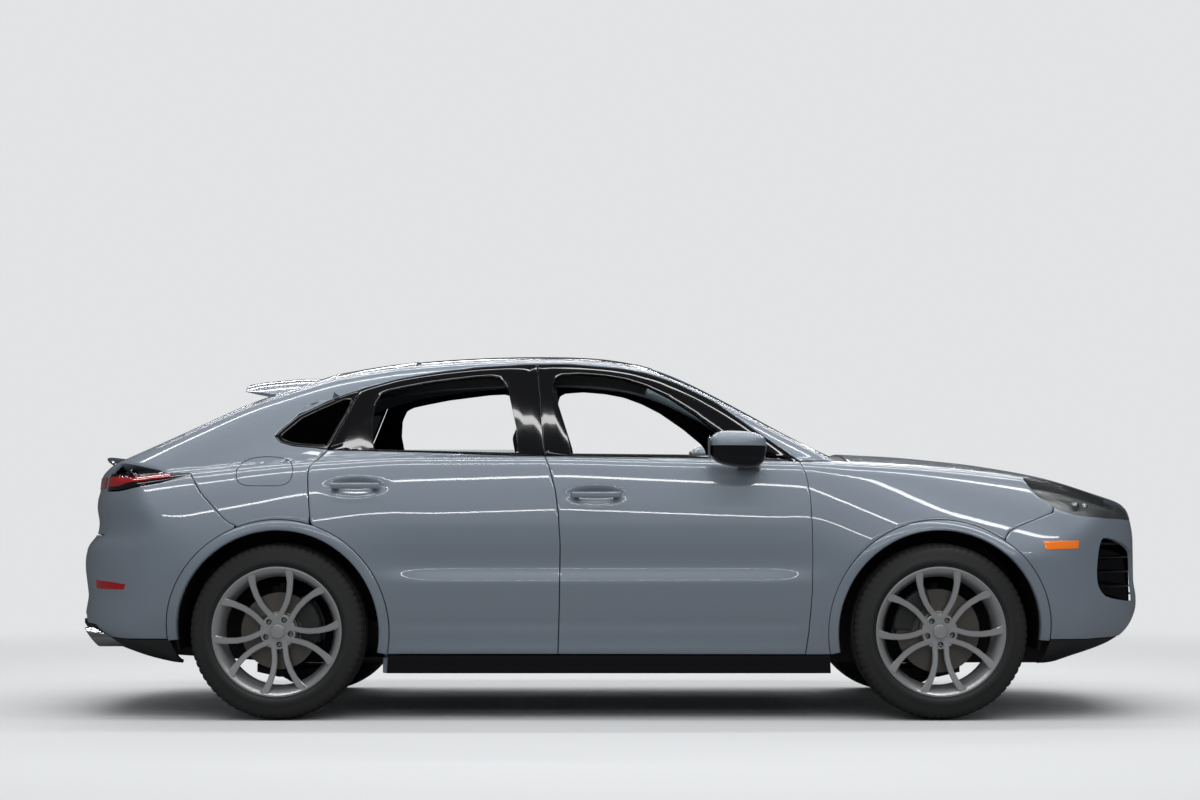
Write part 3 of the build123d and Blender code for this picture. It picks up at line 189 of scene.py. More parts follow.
# Glasshouse rails: x, rail z and y, roof z, width at the belt
glass_rails = sorted([
    (1.090, 1.085, 0.790, 1.155, 0.882), (0.968, 1.155, 0.765, 1.200, 0.897),
    (0.787, 1.245, 0.735, 1.295, 0.912), (0.649, 1.318, 0.712, 1.376, 0.917),
    (0.509, 1.395, 0.690, 1.452, 0.920), (0.370, 1.466, 0.670, 1.524, 0.920),
    (0.232, 1.525, 0.655, 1.583, 0.920), (0.095, 1.562, 0.645, 1.622, 0.918),
    (-0.046, 1.580, 0.640, 1.642, 0.918), (-0.194, 1.589, 0.637, 1.649, 0.917),
    (-0.392, 1.590, 0.635, 1.650, 0.916), (-0.590, 1.583, 0.632, 1.645, 0.914),
    (-0.788, 1.571, 0.630, 1.634, 0.911), (-0.986, 1.553, 0.625, 1.616, 0.907),
    (-1.259, 1.510, 0.620, 1.574, 0.900), (-1.636, 1.392, 0.640, 1.448, 0.880),
    (-2.014, 1.218, 0.680, 1.262, 0.844), (-2.330, 1.075, 0.705, 1.118, 0.807),
])
rail_z, rail_y, roof_z, base_y = (
    faired([(row[0], row[i]) for row in glass_rails], 0.05) for i in (1, 2, 3, 4)
)
base_z = 0.96
least_rise = 0.10
glass_bulge = 0.14


def round_max(a, b, size):
    """The larger of two values, with a round change from one to the other."""
    near = np.clip(size - np.abs(a - b), 0, None) / size
    return np.maximum(a, b) + near ** 3 * size / 6


def body_gap(points, inset=0.0):
    """How far points lie outside the body's surface, moved in by inset."""
    x, y, z = points[:, 0], np.abs(points[:, 1]), points[:, 2]
    side = y - from_grid(side_widths, x, z)
    drop = deck_crown(x) - deck_edge_z(x)
    deck = z - deck_crown(x) + drop * (y / deck_edge_y(x)) ** 2
    ends = round_max(x - nose_x(z) + nose_plan(y), tail_x(z) + tail_plan(y) - x, nose_round)
    corners = round_max(ends, y - plan_y(x), nose_round)
    lower = round_max(round_max(side, deck, shoulder_round), corners, nose_round)
    rise = np.maximum(rail_z(x) - base_z, least_rise)
    share = np.clip((z - base_z) / rise, 0, 2)
    glass = y - base_y(x) - (rail_y(x) - base_y(x)) * share - glass_bulge * rise * share * (1 - share)
    roof = z - roof_z(x) + (roof_z(x) - rail_z(x)) * (y / rail_y(x)) ** 2
    upper = round_max(round_max(glass, roof, rail_round), base_z - z, rail_round)
    upper = round_max(upper, ends, rail_round)
    return -round_max(-lower, -upper, belt_round) + inset


def slope(points, inset=0.0, step=0.002):
    """How steeply the gap to the body grows along each axis."""
    parts = [
        body_gap(points + shift, inset) - body_gap(points - shift, inset)
        for shift in np.eye(3) * step
    ]
    return np.array(parts).T / (2 * step)


longest_move = 0.05
least_slope = 1e-6


def onto_body(points, inset=0.0, turns=8):
    """Moves points along the slope until they lie on the body's surface."""
    points = np.array(points, float)
    for turn in range(turns):
        grade = slope(points, inset)
        size = (grade ** 2).sum(1) + least_slope
        step = body_gap(points, inset) / size
        points -= grade * np.clip(step, -longest_move, longest_move)[:, None]
    return points


search_from = (1.2, 0.0, 0.6)
search_to = 2.7
halvings = 32


def pressed(points, axis, inset=0.0):
    """Moves points along one axis, outwards from the middle of the car, onto the body."""
    points = np.array(points, float)
    sign = np.sign(points[:, axis].mean())
    low = np.full(len(points), search_from[axis])
    high = np.full(len(points), search_to)
    for turn in range(halvings):
        middle = (low + high) / 2
        points[:, axis] = middle * sign
        outside = body_gap(points, inset) > 0
        high = np.where(outside, middle, high)
        low = np.where(outside, low, middle)
    points[:, axis] = (low + high) / 2 * sign
    return points

# Paint
# The body is steel under a solid blue grey base coat with a fine flake, and a clear lacquer
# over it. Dust and faint orange peel show only in the lacquer.
paint_colour = (0.175, 0.207, 0.247, 1.0)
paint_light = (0.210, 0.245, 0.290, 1.0)


def nodes_of(name):
    """A new material with its node tree and its Principled shader."""
    material = bpy.data.materials.new(name)
    material.use_nodes = True
    tree = material.node_tree
    return material, tree, tree.nodes["Principled BSDF"]


def new_node(tree, kind, inputs=(), **settings):
    """Adds a shader node with some settings and input values."""
    made = tree.nodes.new("ShaderNode" + kind)
    for setting, value in settings.items():
        setattr(made, setting, value)
    for socket, value in dict(inputs).items():
        made.inputs[socket].default_value = value
    return made


def wired(tree, *links):
    """Links nodes. Each link is a node, its output, another node and its input."""
    for source, output, target, socket in links:
        tree.links.new(source.outputs[output], target.inputs[socket])


def surface_grain():
    """Shader group: a fine value that varies over a surface, and a bump made from it."""
    group = bpy.data.node_groups.new("surface_grain", "ShaderNodeTree")
    for socket, kind, value in (
        ("Scale", "Float", 200.0), ("Low", "Float", 0.3), ("High", "Float", 0.5),
        ("Height", "Float", 0.0002), ("Dark", "Color", None), ("Pale", "Color", None),
    ):
        made = group.interface.new_socket(socket, in_out="INPUT", socket_type="NodeSocket" + kind)
        if value is not None:
            made.default_value = value
    for socket, kind in (("Colour", "Color"), ("Roughness", "Float"), ("Normal", "Vector")):
        group.interface.new_socket(socket, in_out="OUTPUT", socket_type="NodeSocket" + kind)
    inside, outside = group.nodes.new("NodeGroupInput"), group.nodes.new("NodeGroupOutput")
    place = new_node(group, "TexCoord")
    fine = new_node(group, "TexNoise")
    broad = new_node(group, "TexNoise", {"Scale": 3.0})
    rough = new_node(group, "MapRange")
    tint = new_node(group, "Mix", data_type="RGBA")
    bump = new_node(group, "Bump")
    wired(
        group, (place, "Object", fine, "Vector"), (place, "Object", broad, "Vector"),
        (inside, "Scale", fine, "Scale"), (broad, "Fac", rough, "Value"),
        (inside, "Low", rough, "To Min"), (inside, "High", rough, "To Max"),
        (fine, "Fac", tint, "Factor"), (inside, "Dark", tint, "A"), (inside, "Pale", tint, "B"),
        (fine, "Fac", bump, "Height"), (inside, "Height", bump, "Distance"),
        (tint, "Result", outside, "Colour"), (rough, "Result", outside, "Roughness"),
        (bump, "Normal", outside, "Normal"),
    )
    return group


grain_group = surface_grain()


def finish(name, dark, pale, rough=(0.3, 0.5), scale=200.0, height=0.0002, **sockets):
    """A material whose colour, roughness and bump vary as the grain group says."""
    material, tree, shader = nodes_of(name)
    grain = new_node(tree, "Group", node_tree=grain_group)
    for socket, value in (
        ("Dark", dark), ("Pale", pale), ("Low", rough[0]), ("High", rough[1]), ("Scale", scale),
        ("Height", height),
    ):
        grain.inputs[socket].default_value = value
    wired(
        tree, (grain, "Colour", shader, "Base Color"), (grain, "Roughness", shader, "Roughness"),
        (grain, "Normal", shader, "Normal"),
    )
    for socket, value in sockets.items():
        shader.inputs[socket.replace("_", " ")].default_value = value
    return material


body_paint = finish(
    "body_paint", paint_colour, paint_light, rough=(0.34, 0.40), scale=1400.0, height=0.0,
    Metallic=0.25, Coat_Weight=1.0, Coat_Roughness=0.03,
)
gloss_black = finish(
    "gloss_black", (0.004, 0.004, 0.005, 1), (0.007, 0.007, 0.008, 1), rough=(0.07, 0.10),
    scale=300.0, height=0.0, Specular_IOR_Level=0.25, Coat_Weight=0.4, Coat_Roughness=0.02,
)
black_plastic = finish(
    "black_plastic", (0.010, 0.010, 0.011, 1), (0.022, 0.022, 0.023, 1), rough=(0.48, 0.62),
    scale=900.0, height=0.0003,
)

# Panels
# Each panel is pressed to the body form between its shut lines. The right-hand one is
# made, and the left-hand one is its mirror image. Shut lines are 4 mm wide.
panel_gap = 0.002
panel_wall = 0.014
panel_edge = 0.0018
line_count = 60
wall_corner = 50
smooth_angle = 35
mirror_image = (1, -1, 1)


def even(places, count):
    """Count points spaced evenly along a line of places."""
    places = np.array(places, float)
    steps = np.linalg.norm(np.diff(places, axis=0), axis=1)
    along = np.concatenate(([0], np.cumsum(steps)))
    at = np.linspace(0, along[-1], count)
    return np.stack([np.interp(at, along, column) for column in places.T], 1)


def side_line(places, inset=0.0):
    """A line in the side view, laid on the right-hand side of the body."""
    x, z = even(places, line_count).T
    return pressed(np.stack((x, -np.ones(line_count), z), 1), 1, inset)


def top_line(places, inset=0.0):
    """A line in the top view, laid on the body from above."""
    x, y = even(places, line_count).T
    return pressed(np.stack((x, y, np.ones(line_count)), 1), 2, inset)


def side_spot(x, z):
    """The point of the right-hand side at a place in the side view."""
    return pressed(np.array([[x, -1.0, z]]), 1)[0]


def top_spot(x, y):
    """The point on top of the body at a place in the top view."""
    return pressed(np.array([[x, y, 1.0]]), 2)[0]


def between(start, end, count):
    """Points spaced evenly on a straight line."""
    return even(np.array([start, end]), count)


def ends_of(low, high, count):
    """Straight lines that join the ends of two lines."""
    return [between(low[end], high[end], count) for end in (0, -1)]


def laid(count, *lines):
    """Lines joined end to end, spaced evenly and laid on the body."""
    return onto_body(even(np.concatenate(lines), count))


def patch(low, high, rear, front, counts, inset=0.0, gap=panel_gap):
    """Points of a four-sided panel on the body, between its four edge lines."""
    across, up = counts
    low, high = [line if len(line) == across else even(line, across) for line in (low, high)]
    rear, front = [line if len(line) == up else even(line, up) for line in (rear, front)]
    u = np.linspace(0, 1, across)[None, :, None]
    v = np.linspace(0, 1, up)[:, None, None]
    ruled = low[None] * (1 - v) + high[None] * v + rear[:, None] * (1 - u) + front[:, None] * u
    corners = (
        low[0] * (1 - u) * (1 - v) + low[-1] * u * (1 - v) + high[0] * (1 - u) * v + high[-1] * u * v
    )
    points = ruled - corners
    gaps = gap if isinstance(gap, tuple) else (gap,) * 4
    every = slice(None)
    edges = (
        ((0, every), (1, every)), ((-1, every), (-2, every)), ((every, 0), (every, 1)),
        ((every, -1), (every, -2)),
    )
    for (edge, inner), width in zip(edges, gaps):
        if width:
            step = points[inner] - points[edge]
            points[edge] = points[edge] + step / np.linalg.norm(step, axis=1)[:, None] * width
    return onto_body(points.reshape(-1, 3), inset).reshape(up, across, 3)


def deselect():
    """Leaves edit mode and selects nothing."""
    if bpy.context.object and bpy.context.object.mode != "OBJECT":
        bpy.ops.object.mode_set(mode="OBJECT")
    bpy.ops.object.select_all(action="DESELECT")


def pick(piece):
    """Selects one piece alone."""
    deselect()
    piece.select_set(True)
    bpy.context.view_layer.objects.active = piece


def edit_all(piece):
    """Opens one piece for editing, with all of it selected."""
    pick(piece)
    bpy.ops.object.mode_set(mode="EDIT")
    bpy.ops.mesh.select_all(action="SELECT")


def grid_piece(name, points):
    """A grid primitive with its points laid where the panel's points are."""
    deselect()
    up, across = points.shape[:2]
    bpy.ops.mesh.primitive_grid_add(x_subdivisions=across - 1, y_subdivisions=up - 1, size=2)
    piece = bpy.context.object
    piece.name = piece.data.name = name
    flat = np.zeros(len(piece.data.vertices) * 3)
    piece.data.vertices.foreach_get("co", flat)
    flat = flat.reshape(-1, 3)
    column = np.rint((flat[:, 0] + 1) / 2 * (across - 1)).astype(int)
    row = np.rint((flat[:, 1] + 1) / 2 * (up - 1)).astype(int)
    piece.data.vertices.foreach_set("co", points[row, column].reshape(-1))
    piece.data.update()
    return piece


def joined(pieces, name, weld=0.0004):
    """Several objects as one, with the points that meet merged."""
    deselect()
    for piece in pieces:
        piece.select_set(True)
    bpy.context.view_layer.objects.active = pieces[0]
    if len(pieces) > 1:
        bpy.ops.object.join()
    bpy.ops.object.mode_set(mode="EDIT")
    bpy.ops.mesh.select_all(action="SELECT")
    bpy.ops.mesh.remove_doubles(threshold=weld)
    bpy.ops.object.mode_set(mode="OBJECT")
    piece = bpy.context.object
    piece.name = piece.data.name = name
    return piece


def modified(piece, kind, **settings):
    """Adds a modifier to a piece, and applies it."""
    pick(piece)
    modifier = piece.modifiers.new(kind.lower(), kind)
    for setting, value in settings.items():
        setattr(modifier, setting, value)
    bpy.ops.object.modifier_apply(modifier=modifier.name)
    return piece


def bevelled(piece, width, segments=3, angle=None):
    """Rounds the sharp edges of a piece."""
    limit = {} if angle is None else {"angle_limit": math.radians(angle)}
    return modified(piece, "BEVEL", width=width, segments=segments, limit_method="ANGLE", **limit)


def facing_out(piece):
    """Turns the faces of a sheet so that all of them look away from the body."""
    edit_all(piece)
    bpy.ops.mesh.normals_make_consistent(inside=False)
    bpy.ops.object.mode_set(mode="OBJECT")
    faces = piece.data.polygons
    centres, normals, areas = np.zeros(len(faces) * 3), np.zeros(len(faces) * 3), np.zeros(len(faces))
    faces.foreach_get("center", centres)
    faces.foreach_get("normal", normals)
    faces.foreach_get("area", areas)
    lean = (slope(centres.reshape(-1, 3)) * normals.reshape(-1, 3)).sum(1)
    if (lean * areas).sum() < 0:
        bpy.ops.object.mode_set(mode="EDIT")
        bpy.ops.mesh.flip_normals()
        bpy.ops.object.mode_set(mode="OBJECT")


def walled(piece, wall=panel_wall, edge=panel_edge):
    """Gives a sheet its wall inwards and rounds the wall's edges."""
    facing_out(piece)
    modified(piece, "SOLIDIFY", thickness=wall, offset=-1.0)
    return bevelled(piece, edge, 2, wall_corner) if edge else piece


def panel(name, points, wall=panel_wall, edge=panel_edge):
    """A sheet laid where the points are, with its wall."""
    return walled(grid_piece(name, points), wall, edge)


def finished(piece, material, body, replaces=(), angle=smooth_angle):
    """Smooth shading, material, body and replaced nodes of a piece."""
    pick(piece)
    bpy.ops.object.shade_smooth_by_angle(angle=math.radians(angle))
    piece.data.materials.clear()
    piece.data.materials.append(material)
    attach(piece, body)
    if replaces:
        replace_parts(piece, *replaces)


def pair(piece, material, body, replaces=(), angle=smooth_angle):
    """Finishes a right-hand piece and its left-hand copy, which has a mesh of its own."""
    finished(piece, material, body, replaces, angle)
    twin = piece.copy()
    twin.data = piece.data.copy()
    twin.name = twin.data.name = piece.name.replace("right", "left")
    bpy.context.scene.collection.objects.link(twin)
    twin.parent = None
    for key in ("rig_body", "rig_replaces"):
        if key in twin:
            del twin[key]
    edit_all(twin)
    bpy.ops.transform.resize(value=mirror_image, center_override=(0, 0, 0))
    bpy.ops.mesh.flip_normals()
    bpy.ops.object.mode_set(mode="OBJECT")
    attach(twin, body.replace("right", "left"))
    if replaces:
        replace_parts(twin, *[node.replace("right", "left") for node in replaces])
    return twin


def arch_line(axle_x, radius, low_angle, high_angle, count=40):
    """Part of a circle round a wheel, in the side view. Angles are from the nose, upwards."""
    turn = np.radians(np.linspace(low_angle, high_angle, count))
    return [(axle_x + radius * math.cos(a), axle_z + radius * math.sin(a)) for a in turn]

# Front fenders
# Two pressed steel wings, bolted on between the front doors, the hood, the headlamps and
# the bumper. Each one ends at the separate trim round its wheel opening.
front_axle_x = 1.440
rear_axle_x = -1.455
axle_z = 0.385
trim_radius = 0.488
door_front_line = [
    (0.853, 0.283), (0.867, 0.383), (0.880, 0.551), (0.883, 0.70), (0.882, 0.83), (0.879, 0.94),
    (0.871, 1.02), (0.862, 1.065), (0.852, 1.095), (0.835, 1.129),
]
hood_side = [
    (1.062, -0.752), (1.35, -0.728), (1.60, -0.703), (1.80, -0.675), (1.955, -0.642),
]
hood_front = [
    (1.955, -0.642), (2.08, -0.600), (2.19, -0.535), (2.275, -0.455), (2.325, -0.34),
    (2.352, -0.20), (2.362, 0.0),
]
fender_low = [(0.853, 0.283)] + arch_line(front_axle_x, trim_radius, 192.1, 55.0)
lamp_rear = [(1.962, 0.932), (1.912, 0.960), (1.870, 1.010), (1.842, 1.057)]
bumper_line = [(1.720, 0.785), (1.745, 0.823), (1.80, 0.848), (1.956, 0.906), (1.962, 0.932)]

fender_arch = side_line(fender_low[1:])
fender_rear = side_line([fender_low[1], (0.93, 0.283), (0.853, 0.283)])
door_edge = side_line(door_front_line)
fender_crest = np.concatenate((
    door_edge, side_line([(0.835, 1.129), (0.900, 1.130)])[1:],
    between(side_spot(0.90, 1.131), top_spot(*hood_side[0]), 20)[1:],
    top_line(hood_side)[1:],
))
lamp_corner = side_spot(*lamp_rear[-1])
hood_corner = top_spot(*hood_front[0])
fender_front = np.concatenate((
    side_line(bumper_line), side_line(lamp_rear)[1:], between(lamp_corner, hood_corner, 20)[1:],
))
fender_points = patch(fender_arch, fender_crest, fender_rear, fender_front, counts=(96, 30))
fender = panel("front_fender_right", fender_points)
pair(fender, body_paint, "root", ["front_fenders"])

# Body sides
# Each side is one pressing: rear quarter, rear pillar and roof rail, welded to an inner frame
# with the posts and sill. The sill cover below the doors is black plastic.
side_wall = 0.040
rear_arch_low = (-1.308, 0.851)
rear_arch_high = (-1.628, 0.841)
tail_lamp_tip = (-1.855, 1.076)
belt_rear = (-1.256, 1.182)
window_tip = (-1.503, 1.248)
door_rear_line = [rear_arch_low, (-1.318, 0.93), (-1.325, 1.000), (-1.330, 1.06), (-1.327, 1.101),
                  (-1.300, 1.138), belt_rear]
window_low_rear = [belt_rear, (-1.315, 1.190), (-1.412, 1.198), (-1.476, 1.216), window_tip]
window_rear_top = [
    window_tip, (-1.402, 1.343), (-1.303, 1.391), (-1.204, 1.434), (-1.127, 1.461),
]
window_top = [
    (-1.127, 1.461), (-0.950, 1.510), (-0.760, 1.541), (-0.569, 1.564), (-0.379, 1.575),
    (-0.189, 1.577), (0.044, 1.557), (0.161, 1.537), (0.300, 1.489), (0.469, 1.405),
    (0.635, 1.281), (0.838, 1.136),
]
gate_side = [(-1.255, -0.600), (-1.70, -0.640), (-2.15, -0.690), (-2.20, -0.692)]
roof_side = [(-1.255, -0.600), (0.20, -0.600)]
screen_side = [(0.20, -0.600), (1.062, -0.757)]
rear_bumper_line = [rear_arch_high, (-1.68, 0.868), (-1.80, 0.99), tail_lamp_tip]

arch_top = side_line(arch_line(rear_axle_x, trim_radius, 110.8, 72.5))
tip_seam = even(side_line([tail_lamp_tip, (-1.68, 1.16), window_tip]), 30)
haunch_high = np.concatenate((tip_seam, even(side_line(window_low_rear[::-1]), 16)[1:]))
haunch = patch(
    arch_top, haunch_high, side_line(rear_bumper_line), side_line(door_rear_line), counts=(45, 24),
    gap=(panel_gap, 0, panel_gap, panel_gap),
)
gate_corner = top_spot(*gate_side[-1])
lamp_top = onto_body(between(tip_seam[0], gate_corner, 28))
head_seam = between(side_spot(*window_rear_top[-1]), top_spot(*roof_side[0]), 10)
pillar_front = np.concatenate((even(side_line(window_rear_top), 19), head_seam[1:]))
rear_pillar = patch(
    tip_seam, even(top_line(gate_side[::-1]), 30), lamp_top, pillar_front, counts=(30, 28),
    gap=(0, panel_gap, panel_gap, 0),
)
rail_high = np.concatenate((top_line(roof_side), top_line(screen_side)[1:]))
rail_low = side_line(window_top)
rail_front = onto_body(between(rail_low[-1], rail_high[-1], 10))
roof_rail = patch(
    rail_low, rail_high, head_seam, rail_front, counts=(110, 10), gap=(panel_gap, panel_gap, 0, panel_gap),
)
outer = [grid_piece("side_part", part) for part in (haunch, rear_pillar, roof_rail)]
body_side = walled(joined(outer, "body_side_outer_right", weld=0.006), wall=side_wall)
pair(body_side, body_paint, "root", ["body_side_right"])

sill_low = even(side_line([(-0.985, 0.197), (0.970, 0.197)]), 60)
sill_high = even(side_line([(-0.975, 0.281), (0.963, 0.281)]), 60)
sill_points = patch(sill_low, sill_high, *ends_of(sill_low, sill_high, 8), counts=(80, 6))
sill = panel("sill_cover_right", sill_points)
pair(sill, gloss_black, "root", ["body_side_right"])


def box_piece(name, low, high, edge=0.006, segments=3):
    """A box between two corners, with rounded edges."""
    deselect()
    low, high = np.array(low, float), np.array(high, float)
    bpy.ops.mesh.primitive_cube_add(size=1)
    bpy.ops.object.mode_set(mode="EDIT")
    bpy.ops.transform.resize(value=high - low, center_override=(0, 0, 0))
    bpy.ops.transform.translate(value=(low + high) / 2)
    bpy.ops.object.mode_set(mode="OBJECT")
    piece = bpy.context.object
    piece.name = piece.data.name = name
    return bevelled(piece, edge, segments) if edge else piece


post_inset = 0.050
post_lines = [
    side_line([(-0.345, 1.10), (-0.225, 1.10)], post_inset),
    side_line([(-0.365, 1.56), (-0.265, 1.56)], post_inset),
    side_line([(-0.345, 1.10), (-0.365, 1.56)], post_inset),
    side_line([(-0.225, 1.10), (-0.265, 1.56)], post_inset),
]
post_points = patch(*post_lines, counts=(8, 24), inset=post_inset)
upper_post = panel("post_part", post_points, 0.035, 0.004)
frame_boxes = [
    ((-1.000, -0.868, 0.200), (0.955, -0.740, 0.270)), ((-1.000, -0.795, 0.260), (0.950, -0.745, 0.418)),
    ((-0.345, -0.795, 0.300), (-0.225, -0.745, 1.150)), ((0.893, -0.880, 0.290), (0.958, -0.800, 1.080)),
]
frame_parts = [upper_post] + [box_piece("frame_part", *corners) for corners in frame_boxes]
side_frame = joined(frame_parts, "side_frame_right", weld=0.00005)
pair(side_frame, body_paint, "root", ["body_side_right"])

# Doors
# Each door is a painted steel skin hemmed over an inner shell, with a black window frame, a
# lined inner panel and a pull handle over a cup. They hang on hinges at their front edges.
door_pitch = 0.011
door_low_z = 0.285
split_line_low = [
    (-0.230, 0.285), (-0.223, 0.520), (-0.220, 0.768), (-0.228, 0.900), (-0.242, 1.002),
    (-0.268, 1.100), (-0.290, 1.155),
]
split_line_high = [(-0.290, 1.155), (-0.310, 1.36), (-0.330, 1.575)]
front_belt = [(-0.290, 1.155), (-0.046, 1.153), (0.395, 1.147), (0.62, 1.140), (0.835, 1.129)]
rear_belt = [belt_rear, (-1.129, 1.179), (-0.841, 1.172), (-0.399, 1.156), (-0.290, 1.155)]
handle_places = {"front": (-0.063, 0.982), "rear": (-1.118, 1.021)}
cup_half = (0.105, 0.030)
cup_depth = 0.018
cup_drop = 0.004
cup_steepness = 0.9


def door_skin(low, high, rear, front, cup):
    """Points of a door skin, with the cup behind its handle pressed in."""
    lengths = [np.linalg.norm(np.diff(line, axis=0), axis=1).sum() for line in (low, high, rear, front)]
    counts = [int(max(lengths[:2]) / door_pitch), int(max(lengths[2:]) / door_pitch)]
    points = patch(low, high, rear, front, counts)
    far = ((points[..., 0] - cup[0]) / cup_half[0]) ** 2
    far += ((points[..., 2] - cup[1] + cup_drop) / cup_half[1]) ** 2
    points[..., 1] += cup_depth * np.exp(-(far ** 2) * cup_steepness)
    return points


def handle(name, cup):
    """A pull handle on two feet, over the cup."""
    x, z = cup
    face = side_spot(x, z)[1]
    bar_low, bar_high = (x - 0.108, face - 0.026, z - 0.013), (x + 0.108, face - 0.010, z + 0.013)
    parts = [box_piece("handle_part", bar_low, bar_high, 0.0075, 5)]
    for foot in (x - 0.086, x + 0.086):
        foot_low = (foot - 0.016, face - 0.014, z - 0.010)
        foot_high = (foot + 0.016, face + 0.016, z + 0.010)
        parts.append(box_piece("handle_part", foot_low, foot_high, 0.005))
    return joined(parts, name, weld=0.00005)


front_skin = door_skin(
    side_line([(-0.230, door_low_z), (0.853, door_low_z)]), side_line(front_belt),
    side_line(split_line_low), side_line(door_front_line), handle_places["front"],
)
rear_arch_edge = arch_line(rear_axle_x, trim_radius, -11.8, 72.5)
rear_skin = door_skin(
    side_line([(-0.978, door_low_z), (-0.230, door_low_z)]), side_line(rear_belt),
    side_line(rear_arch_edge + door_rear_line[1:]), side_line(split_line_low), handle_places["rear"],
)

door_card_colour = (0.012, 0.012, 0.013, 1)
door_card_light = (0.022, 0.022, 0.023, 1)
soft_plastic = finish(
    "soft_plastic", door_card_colour, door_card_light, rough=(0.55, 0.70), scale=1500.0, height=0.0004,
)
skin_wall = 0.010
shell_edge = 2
shell_set_in = 0.030
shell_depth = 0.052
card_depth = 0.068
card_wall = 0.022
armrest = (0.022, 0.62, 0.07)
pocket = (0.012, 0.30, 0.12)


def swell(share, height, middle, reach):
    """A rounded ridge of a height, about a middle."""
    return height * np.exp(-((share - middle) / reach) ** 2)


for which, skin in (("front", front_skin), ("rear", rear_skin)):
    node = "door_%s_right" % which
    flat = patch(skin[0], skin[-1], skin[:, 0], skin[:, -1], counts=skin.shape[1::-1], gap=0)
    inner = flat[shell_edge:-shell_edge:3, shell_edge:-shell_edge:3] + np.array([0, shell_set_in, 0])
    trim = flat[3:-3:2, 3:-3:2].copy()
    rows = np.linspace(0, 1, trim.shape[0])[:, None]
    trim[..., 1] += card_depth + swell(rows, *armrest) - swell(rows, *pocket)
    shell_wall = shell_depth - skin_wall
    for piece, material, slot in (
        (panel("%s_door_skin_right" % which, skin, skin_wall), body_paint, "body_paint"),
        (panel("%s_door_shell_right" % which, inner, shell_wall, 0.003), body_paint, "body_paint"),
        (panel("%s_door_card_right" % which, trim, card_wall, 0.006), soft_plastic, "soft_plastic"),
        (handle("%s_door_handle_right" % which, handle_places[which]), body_paint, "body_paint"),
    ):
        pair(piece, material, node, [node])

# Window frames
# Gloss black extruded frames round the door windows, 3 mm behind the skin. The rear one
# covers the post between the doors.
frame_inset = 0.003
frame_wall = 0.016


def ring_piece(name, outline, opening, inset=frame_inset, wall=frame_wall, rows=4, count=120, edge=0.0025):
    """A closed band on the side of the body, between an outline and the opening inside it."""
    lines = []
    for places in (outline, opening):
        places = np.array(list(places) + [places[0]], float)
        lines.append(even(places, count + 1)[:-1])
    outer, inner = lines
    turn = np.argmin([
        (np.linalg.norm(outer - np.roll(inner, shift, axis=0), axis=1) ** 2).sum() for shift in range(count)
    ])
    inner = np.roll(inner, turn, axis=0)
    share = np.linspace(0, 1, rows)[:, None, None]
    band = outer[None] * (1 - share) + inner[None] * share
    band = np.concatenate((band, band[:, :1]), axis=1)
    points = np.stack((band[..., 0], -np.ones(band.shape[:2]), band[..., 1]), -1)
    points = pressed(points.reshape(-1, 3), 1, inset).reshape(points.shape)
    piece = joined([grid_piece(name, points)], name, weld=0.0001)
    return walled(piece, wall=wall, edge=edge)


def set_in(places, gap):
    """A closed side view outline moved inwards by a gap."""
    places = np.array(places, float)
    ahead = np.roll(places, -1, axis=0) - places
    ahead /= np.linalg.norm(ahead, axis=1)[:, None]
    behind = np.roll(ahead, 1, axis=0)
    area = np.cross(places, np.roll(places, -1, axis=0)).sum()
    side = np.stack((-(ahead + behind)[:, 1], (ahead + behind)[:, 0]), 1) * np.sign(area)
    side /= 1e-9 + (side * np.stack((-ahead[:, 1], ahead[:, 0]), 1) * np.sign(area)).sum(1)[:, None]
    return places + side * gap


front_opening = [
    (-0.174, 1.166), (-0.192, 1.250), (-0.262, 1.470), (-0.252, 1.508), (-0.226, 1.524), (-0.132, 1.531),
    (-0.020, 1.522), (0.076, 1.504), (0.170, 1.470), (0.264, 1.423), (0.380, 1.345), (0.478, 1.266),
    (0.500, 1.235), (0.505, 1.160),
]
front_outline = split_line_high + [place for place in window_top if place[0] > -0.3] + front_belt[::-1][:-1]
rear_opening = [
    (-1.050, 1.185), (-1.068, 1.300), (-1.060, 1.385), (-1.034, 1.435), (-1.000, 1.452), (-0.940, 1.465),
    (-0.816, 1.489), (-0.610, 1.515), (-0.530, 1.519), (-0.490, 1.506), (-0.462, 1.470), (-0.420, 1.290),
    (-0.412, 1.170),
]
rear_outline = (
    [(-1.256, 1.182), (-1.200, 1.300), (-1.127, 1.461)]
    + [place for place in window_top if -1.12 < place[0] < -0.34] + split_line_high[::-1]
    + rear_belt[::-1][1:-1]
)
corner_outline = [
    (0.522, 1.158), (0.522, 1.228), (0.535, 1.249), (0.640, 1.196), (0.740, 1.160), (0.790, 1.146),
]
front_frame = ring_piece("front_window_frame_right", set_in(front_outline, panel_gap), front_opening)
rear_frame = ring_piece("rear_window_frame_right", set_in(rear_outline, panel_gap), rear_opening)
for which, piece in (("front", front_frame), ("rear", rear_frame)):
    node = "door_%s_right" % which
    pair(piece, gloss_black, node, [node])

# Hood, roof and glass
# The hood is one pressing. The roof has a fixed glass panel in a painted surround. All the
# glass here is bonded in place. The windscreen is tinted a little green, the rest is dark.


def half_points(low, high, rear, front, counts, inset=0.0, gap=panel_gap):
    """Points of the right-hand half of a panel whose high edge is the car's middle line."""
    points = patch(low, high, rear, front, counts, inset, gap)
    points[-1, :, 1] = 0
    return points


def full_panel(name, parts, wall=panel_wall, edge=panel_edge, weld=0.0012):
    """A panel of right-hand parts and their mirror images, welded on the middle line."""
    pieces = []
    for points in parts:
        pieces.append(grid_piece(name, points))
        pieces.append(grid_piece(name, points[::-1] * np.array(mirror_image)))
    return walled(joined(pieces, name, weld), wall, edge)


